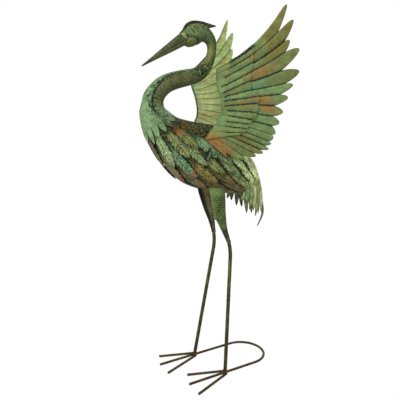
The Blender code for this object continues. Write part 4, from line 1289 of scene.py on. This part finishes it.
def inner_finish():
    """Inner face of the wings: pale bands, aqua lines and orange streaks along the feathers, made brighter as painted
    light.
    """
    material, tree = new_finish("wing_inside_paint")
    gap, share, tone = (reading(tree, key) for key in ("gap", "share", "tone"))
    wobble = noise(tree, 190.0, 3.0)
    brushed = noise(tree, 26.0, 4.0, spot=place(tree, (0.5, 1.0, 4.0)))
    orange = noise(tree, 18.0, 4.0, spot=place(tree, (0.5, 1.0, 5.0)))
    # Painted light: the pale paint is made extra bright against the shade the inner face sits in
    colour = tint(tree, (0.66, 0.80, 0.38), (0.95, 1.00, 0.56), ease(brushed, 0.42, 0.58))
    colour = coats(
        tree, colour,
        ((0.36, 0.66, 0.42), ease(brushed + tone * 0.25 - share * 0.2, 0.62, 0.76)),
        ((0.80, 0.46, 0.15), ease(orange, 0.56, 0.64) * 0.75),
        ((0.10, 0.21, 0.135), ease(gap + wobble * 0.001, 0.0018, 0.0006) * 0.85),
        ((0.12, 0.13, 0.06), ease(share, 0.03, 0.012) * 0.8),
        # Painted light taken back towards the tips, which the light reaches
        ((0.52, 0.56, 0.46), ease(share, 0.30, 0.70), "MULTIPLY"),
        (BLACK, reading(tree, "leading") * ease(gap - wobble * 0.0020, 0.0012, 0.0) * 0.9),
    )
    relief = brushed * 0.2 - ease(gap, 0.0, 0.003)
    return close_finish(material, *weather(tree, colour, relief, 0.5, rust=0.08, dark=0.22, rough=0.56, metal=0.06))


def wing_points(side, flat, across, lift):
    """Side-view grid raised to the wing's surface, with each feather's middle a little higher."""
    shares = np.linspace(0, 1, flat.shape[0])[:, None]
    crown = 1 - 2 * np.abs(across[None, :]) ** 2.4
    relief = FEATHER_RELIEF * crown * np.minimum(1.0, 3 * shares)
    spread = wing_spread(flat[..., 0], flat[..., 1]) + relief + lift
    return np.stack([flat[..., 0], side * spread, flat[..., 1]], axis=-1)


def covert_ends(root_edge):
    """Tips of the coverts and the notches between them, from the ends of the lines that part them."""
    lines, roots = np.array(COVERT_TIPS), np.array(COVERT_ROOTS)
    outer = np.vstack([lines[0] + (lines[0] - lines[1]) * 0.8, lines, 2 * lines[-1] - lines[-2]])
    middle_share = (roots[:-1] + roots[1:]) / 2
    tips = ((outer[:-1] + outer[1:]) / 2)[:len(middle_share)]
    away = tips - through(root_edge, middle_share * (len(root_edge) - 1))
    return tips + away / np.linalg.norm(away, axis=1)[:, None] * COVERT_DOME, lines[:-1]


def build_wings():
    root_edge = np.array(WING_ROOT_EDGE)
    inner = inner_finish()
    paints = {"flight_feathers": wing_finish("flight_paint", 0.0015), "coverts": wing_finish("covert_paint", 0.0024)}
    tips, notches = covert_ends(root_edge)
    fans = (
        ("flight_feathers", FLIGHT_TIPS, FLIGHT_NOTCHES, root_edge, FLIGHT_BOW, 24, 60, ((0, 1), (0, 1)), 8),
        ("coverts", tips, notches, root_edge + [0.0006, 0.0], COVERT_BOW, 20, 40,
         (np.linspace(0, 1, len(COVERT_ROOTS)), COVERT_ROOTS), 7),
    )
    for name, fan_tips, fan_notches, edge, bow, columns, rows, spacing, seed in fans:
        flat, across, numbers = feather_fan(fan_tips, fan_notches, edge, bow, columns, rows, spacing)
        values = feather_values(flat, numbers, columns, seed)
        values["rusty"] = spots(flat, RUSTY)
        values["gold"] = spots(flat, GOLDEN)
        values["leading"] = np.broadcast_to((numbers == 0) & (across < 0), flat.shape[:2]) * 1.0
        if name == "coverts":
            given = np.linspace(0, 1, len(COVERT_LINE_STARTS))
            starts = np.interp(np.linspace(0, 1, flat.shape[1]), given, COVERT_LINE_STARTS)
            values["teal"] = bump_at((values["end"] - 0.004) / 0.014)
            values["outline"] = np.full(flat.shape[:2], 0.45)
        else:
            starts = np.interp(numbers, *zip(*FLIGHT_LINE_STARTS))
            upper = np.clip(1.5 - numbers / 3, 0, 1) * np.clip((values["share"] - 0.5) / 0.15, 0, 1)
            values["gold"] = np.maximum(values["gold"], upper)
            values["teal"] = bump_at((flat[..., 0] - 0.085) / 0.045) * (flat[..., 1] > 0.78)
            values["outline"] = np.full(flat.shape[:2], 1.0)
        values["start"] = np.broadcast_to(starts, flat.shape[:2])
        for label, side in (("left", -1), ("right", 1)):
            if name == "coverts":
                points = wing_points(side, flat, across, WING_SHEET / 2 + 2 * FEATHER_RELIEF + COVERT_CLEARANCE)
                item = sheet(f"{label}_covert_sheet", points, SHEET, 1.0, [paints[name]], values, side < 0)
            else:
                points = wing_points(side, flat, across, 0.0)
                faces = [paints[name], inner]
                item = sheet(f"{label}_flight_sheet", points, WING_SHEET, 0.0, faces, values, side < 0, 1)
            stand_for(item, "verdigris_sheet", f"{label}_{name}")


# ---------------------------------------------------------------- wing fixing

def fixing_finish(name, colour, dark):
    material, tree = new_finish(name)
    edge = reading(tree, "edge")
    paint = tint(tree, colour, (0.09, 0.13, 0.07), ease(noise(tree, 130.0, 3.0), 0.45, 0.60))
    # Black over the edge mask: the sleeve's sides and ends, painted shade on its inside walls, and the tab's long edges
    paint = tint(tree, paint, BLACK, ease(edge + (noise(tree, 300.0, 2.0) - 0.5) * 0.2, 0.46, 0.56) * dark)
    return close_finish(material, *weather(tree, paint, None, rust=0.3, dark=0.6, rough=0.48))


def sleeve_frame(side):
    """Place of a wing sleeve: its back face lies on the leaves, turned with the trunk's skin."""
    lift = LEAF_ROOT_LIFT + LEAF_TIP_LIFT + LEAF_RIB + SHEET + GAP
    seat = Vector(trunk_points(SLEEVE_STATION, math.radians(SLEEVE_ANGLE), lift))
    seat.y *= side
    outward_axis = Vector((0.0, side, 0.0))
    lean = math.radians(SLEEVE_LEAN)
    up = Vector((math.sin(lean), 0.0, math.cos(lean)))
    return seat, Matrix((up.cross(outward_axis), outward_axis, up)).transposed()


def build_fixing(label, side, sleeve_paint, tab_paint):
    """Sleeve folded from a strip round the tab, open at the top, and the tab that drops in it."""
    seat, turn = sleeve_frame(side)
    middle = seat + turn @ Vector((0.0, SLEEVE_DEPTH / 2, 0.0))
    columns, power = 48, 2 / 7
    c, s = np.cos(turns(columns)), np.sin(turns(columns))

    def outline(wide, deep):
        return np.stack([wide * np.sign(c) * np.abs(c) ** power, deep * np.sign(s) * np.abs(s) ** power], axis=-1)

    rings, edges = [], []

    def add_ring(z, shape, edge):
        rings.append([middle + turn @ Vector((u, v, z)) for u, v in shape])
        edges.append(edge)

    half_w, half_d, half_h = SLEEVE_WIDTH / 2, SLEEVE_DEPTH / 2, SLEEVE_HEIGHT / 2
    profile = [(-half_h, 0.90, 0.78), (-half_h + 0.0008, 1.0, 1.0)]
    profile += [(z, 1.0, 1.0) for z in np.linspace(-half_h + 0.003, half_h - 0.0008, 12)] + [(half_h, 0.97, 0.94)]
    for z, wide, deep in profile:
        shape = outline(half_w * wide, half_d * deep)
        add_ring(z, shape, np.maximum(np.abs(shape[:, 0]) / half_w, np.clip(abs(z) / half_h * 3 - 2.2, 0, 1)))
    for z in (half_h, half_h - 0.004, -half_h + SLEEVE_WALL):
        add_ring(z, outline(half_w - SLEEVE_WALL, half_d - SLEEVE_WALL), np.ones(columns))
    item = loft(f"{label}_sleeve", np.array(rings), sleeve_paint, {"edge": np.array(edges)})
    stand_for(item, "olive_sheet", f"{label}_wing_sleeve")

    width = SLEEVE_WIDTH - 2 * SLEEVE_WALL - 2 * GAP
    stations = []
    for x, z, step in TAB_GRIP:
        inset = WING_SHEET / 2 + FEATHER_RELIEF + TAB_CLEARANCE + TAB_THICKNESS / 2 - step
        stations.append([(x + reach, side * (wing_spread(x + reach, z) - inset), z)
                         for reach in (TAB_NECK / 2, -TAB_NECK / 2)])
    mouth = SLEEVE_HEIGHT / 2
    for rise, wide in ((mouth, TAB_NECK), (mouth - TAB_NECK / 2, width), (mouth - TAB_HOLD, width)):
        point = middle + turn @ Vector((0.0, 0.0, rise))
        across = turn @ Vector((wide / 2, 0.0, 0.0))
        stations.append([tuple(point + across), tuple(point - across)])
    ends = np.array(stations)
    fine = through(ends.reshape(len(ends), 6), np.linspace(0, len(ends) - 1, 60)).reshape(-1, 2, 3)
    shares = np.linspace(0, 1, 9)[None, :, None]
    grid = fine[:, :1] * (1 - shares) + fine[:, 1:] * shares
    edge = np.broadcast_to(np.abs(np.linspace(-1, 1, 9))[None, :], grid.shape[:2])
    item = sheet(f"{label}_tab", grid, TAB_THICKNESS, 0.0, [tab_paint], {"edge": edge})
    stand_for(item, "black_brown", f"{label}_wing_tab")


# ---------------------------------------------------------------- thighs

def flatness(sections, half):
    """Share of its half length that a thigh's half width has, flatter at the bottom."""
    return np.interp(half, (sections[-1][3], sections[0][3]), THIGH_FLATNESS)


def thigh_finish():
    """Green paint with scales below the belly, a light ridge that is partly a painted highlight, and painted shade on
    the inside.
    """
    material, tree = new_finish("thigh_paint")
    _, around, along = skin_place(tree)
    warp = (noise(tree, 140.0, 3.0) - 0.5) * 0.003
    line, rise = scales(around + warp, along + warp, 0.0115, 0.0072)
    drift = noise(tree, 42.0, 4.0)
    chips = noise(tree, 300.0, 2.0, offset=4.0)
    colour = tint(tree, (0.085, 0.135, 0.042), (0.125, 0.195, 0.066), ease(drift, 0.40, 0.60))
    colour = coats(
        tree, colour,
        ((0.13, 0.20, 0.085), ease(along, 0.075, 0.035) * 0.8),
        # Light ridge: rubbed paint on the crease, with a painted highlight
        ((0.38, 0.32, 0.16), reading(tree, "front")),
        # Painted shade: the far thigh's inside, turned from the light
        ((0.012, 0.010, 0.005), reading(tree, "inside")),
    )
    shown = ease(along, 0.048, 0.066)
    colour = coats(
        tree, colour,
        # Painted shadow: black line under each scale's edge
        (BLACK, line * shown * (0.75 + ease(chips, 0.45, 0.6) * 0.25)),
        (BLACK, ease(chips, 0.55, 0.62) * ease(drift, 0.60, 0.45) * shown * 0.7),
        ((0.022, 0.036, 0.022), ease(along, 0.12, 0.18) * ease(drift, 0.62, 0.45) * 0.8),
    )
    relief = (rise - line * 0.7) * shown
    return close_finish(material, *weather(tree, colour, relief, 0.7, rust=0.12, dark=0.5, rough=0.48))


def build_thigh(label, sections, side, paint):
    """Folded sheet with a crease in front and a rolled lower end. Front is its light ridge, rubbed paint with a painted
    highlight, and inside its painted shade.
    """
    angles = turns(96)
    degrees = np.degrees(angles)
    c, s = np.cos(angles), np.sin(angles)
    rows = through(sections, np.linspace(0, len(sections) - 1, 84))
    rings = []
    for x, y, z, half in rows:
        across = half * flatness(sections, half) * s * (1 - THIGH_CREASE * c**2)
        fold = half * (1 + 0.05 * bump_at((degrees - 180) / 16))
        rings.append(np.stack([x + fold * c, y + across, np.full_like(c, z)], axis=-1))
    for grow, drop in ((1.10, 0.0006), (1.12, 0.0022), (1.02, 0.0030), (0.86, 0.0031)):
        across = half * flatness(sections, half) * s * grow
        rings.append(np.stack([x + half * grow * c, y + across, np.full_like(c, z - drop + 0.003)], axis=-1))
    grid = np.array(rings)
    ridge, strength = THIGH_RIDGE[side]
    inside = np.clip(THIGH_SHADE[side] * bump_at((degrees - THIGH_SHADE_TURN) / 36), 0, 1)
    values = {"front": np.broadcast_to(bump_at((degrees - ridge) / 24) * strength, grid.shape[:2]),
              "inside": np.outer(np.arange(len(rings)) < len(rows), inside)}
    item = loft(f"{label}_thigh_sheet", grid, paint, values, skin_map(grid, 0.12))
    stand_for(item, "verdigris_sheet", f"{label}_thigh")


# ---------------------------------------------------------------- bars

def bar_finish(name, light, main, dark, rust):
    """Bar stock with streaks along its length."""
    material, tree = new_finish(name)
    drift = noise(tree, 26.0, 4.0, spot=place(tree, (2.6, 2.6, 0.35)))
    flecks = noise(tree, 190.0, 4.0, rough=0.66, offset=3.0)
    colour = tint(tree, main, light, ease(drift, 0.48, 0.64))
    colour = coats(
        tree, colour,
        (dark, ease(flecks, 0.50, 0.62) * 0.7),
        ((0.08, 0.13, 0.065), ease(noise(tree, 75.0, 4.0, offset=6.0), 0.54, 0.66) * 0.5),
    )
    aged = weather(tree, colour, flecks, 0.35, rust=rust, dark=0.5, rough=0.60, metal=0.05)
    return close_finish(material, *aged, gloss=0.05)


def bar_tree():
    """Sweeps a round bar along edges, by a radius and a share of it at each point."""
    tree, given = open_group("bar_on_path", {"Radius": "Float", "Sides": "Int", "Finish": "Material"})
    path = node(tree, "GeometryNodeMeshToCurve", None, {0: given("Geometry")})
    ring = node(tree, "GeometryNodeCurvePrimitiveCircle", None,
                {"Resolution": given("Sides"), "Radius": given("Radius")})
    thick = node(tree, "GeometryNodeInputNamedAttribute", {"data_type": "FLOAT"}, {"Name": "thick"})
    swept = node(tree, "GeometryNodeCurveToMesh", None,
                 {"Curve": path, "Profile Curve": ring, "Scale": thick, "Fill Caps": True})
    real = node(tree, "GeometryNodeRealizeInstances", None, {"Geometry": swept})
    return close_group(tree, real, given("Finish"))


def bar(name, path, diameter, finish, slot, cad_node):
    """Round bar along a path, cut square at its ends with a small chamfer."""
    path = [np.array(point, float) for point in path]
    chamfer = diameter * 0.06
    start = path[0] + (path[1] - path[0]) / np.linalg.norm(path[1] - path[0]) * chamfer
    end = path[-1] + (path[-2] - path[-1]) / np.linalg.norm(path[-2] - path[-1]) * chamfer
    path = [path[0], start, *path[1:-1], end, path[-1]]
    thick = np.ones(len(path))
    thick[[0, -1]] = 0.86
    mesh = bpy.data.meshes.new(name)
    mesh.from_pydata((np.array(path) + SHIFT).tolist(), [(i, i + 1) for i in range(len(path) - 1)], [])
    add_values(mesh, {"thick": thick})
    item = put(name, mesh)
    feed(item, "bar", BAR_TREE, {"Radius": diameter / 2, "Sides": 24, "Finish": finish})
    settle(item, 50.0)
    outward(item.data)
    smooth(item.data, 50.0)
    stand_for(item, slot, cad_node)


def rounded_bend(start, corner, end, reach, steps=16):
    """Path from start to end with a curve in place of the corner, from reach before it to reach after it."""
    start, corner, end = Vector(start), Vector(corner), Vector(end)
    first = corner + (start - corner).normalized() * reach
    last = corner + (end - corner).normalized() * reach
    path = [start]
    for step in range(steps + 1):
        t = step / steps
        path.append(first * (1 - t) ** 2 + corner * 2 * t * (1 - t) + last * t**2)
    path.append(end)
    return path


def weld(name, centre, size, finish, seed):
    """Lumpy weld bead where the leg meets the foot bars."""
    random = np.random.default_rng(seed)
    rows, columns = 14, 28
    turn = turns(columns)
    rings = []
    waves = random.uniform(0, 6.28, 4)
    for pitch in np.linspace(-1.45, 1.45, rows):
        lump = 1 + 0.10 * np.sin(3 * turn + waves[0] + 2 * pitch) + 0.07 * np.sin(5 * turn + waves[1] - 3 * pitch)
        c, s = np.cos(turn) * math.cos(pitch) * lump, np.sin(turn) * math.cos(pitch) * lump
        rings.append(np.stack([centre[0] + size[0] * c, centre[1] + size[1] * s,
                               np.full_like(c, centre[2] + size[2] * math.sin(pitch))], axis=-1))
    item = loft(name, np.array(rings), finish, None, None, 60.0)
    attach(item, "root")


def build_stand():
    """Legs, toes, heel welds, rear loop and the tie between the thighs."""
    leg_paint = bar_finish("leg_paint", (0.20, 0.165, 0.050), (0.066, 0.060, 0.022), (0.011, 0.011, 0.005), 0.3)
    foot_paint = bar_finish("foot_paint", (0.070, 0.075, 0.034), (0.095, 0.048, 0.027), (0.013, 0.011, 0.007), 0.35)
    for label, thigh, knee, heel, seed in (("left", LEFT_THIGH, LEFT_KNEE, LEFT_HEEL, 3),
                                           ("right", RIGHT_THIGH, RIGHT_KNEE, RIGHT_HEEL, 4)):
        mouth = Vector(thigh[-1][:3])
        lean = Vector((knee[0] - heel[0], knee[1] - heel[1])).length / knee[2]
        foot = Vector((heel[0], heel[1], 2 * FOOT_HEIGHT + GAP + LEG_ROD / 2 * lean))
        start = mouth + (mouth - Vector(knee)).normalized() * THIGH_HOLD
        path = rounded_bend(start, knee, foot, KNEE_ROUNDING)
        bar(f"{label}_leg_bar", path, LEG_ROD, leg_paint, "brown_rod", f"{label}_leg")
        side = -1 if label == "left" else 1
        leftward, rightward = ("outer", "inner") if side < 0 else ("inner", "outer")
        beside = FOOT_ROD + GAP
        toes = (("middle", MIDDLE_TOE, 0.0, 0.0), (leftward, LEFTWARD_TOE, -TOE_SPREAD, -beside),
                (rightward, RIGHTWARD_TOE, TOE_SPREAD, beside))
        for toe, length, spread, aside in toes:
            turn = math.radians(spread)
            root = (heel[0], heel[1] + aside, FOOT_HEIGHT)
            tip = (heel[0] - length * math.cos(turn), heel[1] + length * math.sin(turn), FOOT_HEIGHT)
            bar(f"{label}_{toe}_toe_bar", [root, tip], FOOT_ROD, foot_paint, "black_brown", f"{label}_{toe}_toe")
        weld(f"{label}_heel_weld", (heel[0] - 0.001, heel[1], FOOT_ROD - 0.0005), HEEL_WELD, foot_paint, seed)
    radius = STANCE / 2
    centre = LOOP_END - radius - FOOT_ROD / 2
    path = [(LEFT_HEEL[0] + GAP, LEFT_HEEL[1], FOOT_HEIGHT)]
    for step in range(49):
        turn = math.pi * (step / 48 - 0.5)
        path.append((centre + radius * math.cos(turn), radius * math.sin(turn), FOOT_HEIGHT))
    path.append((RIGHT_HEEL[0] + GAP, RIGHT_HEEL[1], FOOT_HEIGHT))
    bar("rear_loop_bar", path, FOOT_ROD, foot_paint, "black_brown", "rear_loop")
    ends = []
    for sections in (LEFT_THIGH, RIGHT_THIGH):
        rows = np.array(sections)[::-1]
        x, y, half = (np.interp(TIE_HEIGHT, rows[:, 2], rows[:, column]) for column in (0, 1, 3))
        ends.append((Vector((x, y, TIE_HEIGHT)), half * flatness(sections, half)))
    (left, left_half), (right, right_half) = ends
    along = (right - left).normalized()
    start = left + along * (left_half / abs(along.y) - TIE_HOLD)
    end = right - along * (right_half / abs(along.y) - TIE_HOLD)
    bar("thigh_tie_bar", [start, end], TIE_ROD, leg_paint, "brown_rod", "thigh_tie")


# ---------------------------------------------------------------- tail

def strip_finish():
    """Green and straw strips with a black midline, edges and tips."""
    material, tree = new_finish("tail_paint")
    across, along, tone = (reading(tree, name) for name in ("across", "along", "tone"))
    off = across.math("ABSOLUTE")
    dark_tip = ease(along + (noise(tree, 120.0, 2.0) - 0.5) * 0.3, 0.76, 0.98)
    colour = tint(tree, (0.27, 0.38, 0.18), (0.74, 0.78, 0.40), ease(tone + off * 0.3, 0.36, 0.70))
    colour = coats(
        tree, colour,
        ((0.24, 0.16, 0.06), ease(tone, 0.80, 0.95) * 0.6),
        ((0.115, 0.20, 0.11), ease(noise(tree, 60.0, 3.0), 0.50, 0.62) * 0.6),
        ((0.028, 0.026, 0.014), dark_tip * 0.8),
        (BLACK, ease(off, 0.12, 0.04) * 0.5),
        (BLACK, ease(off, 0.80, 0.95) * 0.75),
    )
    return close_finish(material, *weather(tree, colour, ease(off, 0.0, 0.3), 0.35, rust=0.2, dark=0.45, rough=0.48))


def tail_strip(strips, number, side, random):
    """One pointed strip: its points, the share across and along it, and its tone. Every second one lies under."""
    rows, columns = 26, 9
    under = number % 2
    degrees, x, y, z, turn = through(strips, number * (len(strips) - 1) / (TAIL_STRIPS_PER_SIDE - 1))
    root = trunk_points(TAIL_STRIP_START - 0.25 * under, math.radians(degrees), 0.0040 - 0.0018 * under)
    tip = np.array([x, y + 0.0006 * under, z + 0.010 * under * random.uniform(0.3, 1.0)])
    plan = math.radians(turn * 0.25)
    across = np.array([math.cos(plan), -math.sin(plan), 0.0])
    share, t = np.meshgrid(np.linspace(0, 1, rows), np.linspace(-1, 1, columns), indexing="ij")
    wide = TAIL_STRIP_HALF_WIDTH * np.interp(share, (0, 0.4, 0.72, 0.9, 1.0), (0.85, 1.0, 0.92, 0.55, 0.04))
    out = np.cross(across, [0, 0, 1.0])
    out = out if out[1] > 0 else -out
    line = root + (tip - root) * share[..., None] + TAIL_BULGE * (4 * share * (1 - share))[..., None]
    ridge = 0.0012 * (1 - np.abs(t)) * np.minimum(1, (1 - share) * 4)
    grid = line + across * (wide * t)[..., None] + out * ridge[..., None]
    grid[..., 1] *= side
    return grid, {"tone": np.full(t.shape, random.uniform(0, 1)), "across": t, "along": share}


def build_tail():
    strips = np.array(TAIL_STRIPS)
    finish = strip_finish()
    for side, label in ((-1, "left"), (1, "right")):
        random = np.random.default_rng(11 + side)
        made = [tail_strip(strips, number, side, random) for number in range(TAIL_STRIPS_PER_SIDE)]
        points = np.concatenate([grid.reshape(-1, 3) for grid, _ in made])
        quads, _ = grid_faces(*made[0][0].shape[:2])
        faces = np.concatenate([quads + number * len(points) // len(made) for number in range(len(made))])
        values = {name: np.concatenate([own[name].ravel() for _, own in made]) for name in made[0][1]}
        item = new_piece(f"{label}_tail_strips", points, faces.tolist(), [finish], values)
        add_wall(item, LEAF_SHEET, 0.0)
        settle(item)
        bars = (f"{label}_tail_strip_{number}" for number in range(1, TAIL_STRIPS_IN_CAD + 1))
        stand_for(item, "olive_sheet", *bars)
    build_curl(finish)


def build_curl(finish):
    """Long narrow strip that hangs behind the tail and curls forward."""
    share, t = np.meshgrid(np.linspace(0, 1, 60), np.linspace(-1, 1, 7), indexing="ij")
    path = through(TAIL_CURL, share * (len(TAIL_CURL) - 1))
    wide = np.interp(share, (0, 0.5, 1.0), (1.0, 0.95, 0.25)) * TAIL_CURL_WIDTH / 2
    grid = np.stack([path[..., 0] + 0.0009 * (1 - np.abs(t)), wide * t, path[..., 1]], axis=-1)
    values = {"across": t, "along": 0.5 + share / 2, "tone": np.full(t.shape, 0.1)}
    item = sheet("tail_curl_strip", grid, SHEET, 0.0, [finish], values)
    stand_for(item, "black_brown", "tail_curl")


set_camera()
set_studio()
build_trunk()
build_neck()
build_beak()
build_crest()
build_leaves()
build_wings()
# The tab's dark paint is painted shade: it stands for the shade under the wing
fixing_paints = (fixing_finish("sleeve_paint", (0.12, 0.19, 0.11), 1.0),
                 fixing_finish("tab_paint", (0.05, 0.055, 0.035), 0.6))
build_fixing("left", -1, *fixing_paints)
build_fixing("right", 1, *fixing_paints)
thigh_paint = thigh_finish()
build_thigh("left", LEFT_THIGH, -1, thigh_paint)
build_thigh("right", RIGHT_THIGH, 1, thigh_paint)
BAR_TREE = bar_tree()
build_stand()
build_tail()

bpy.context.view_layer.update()
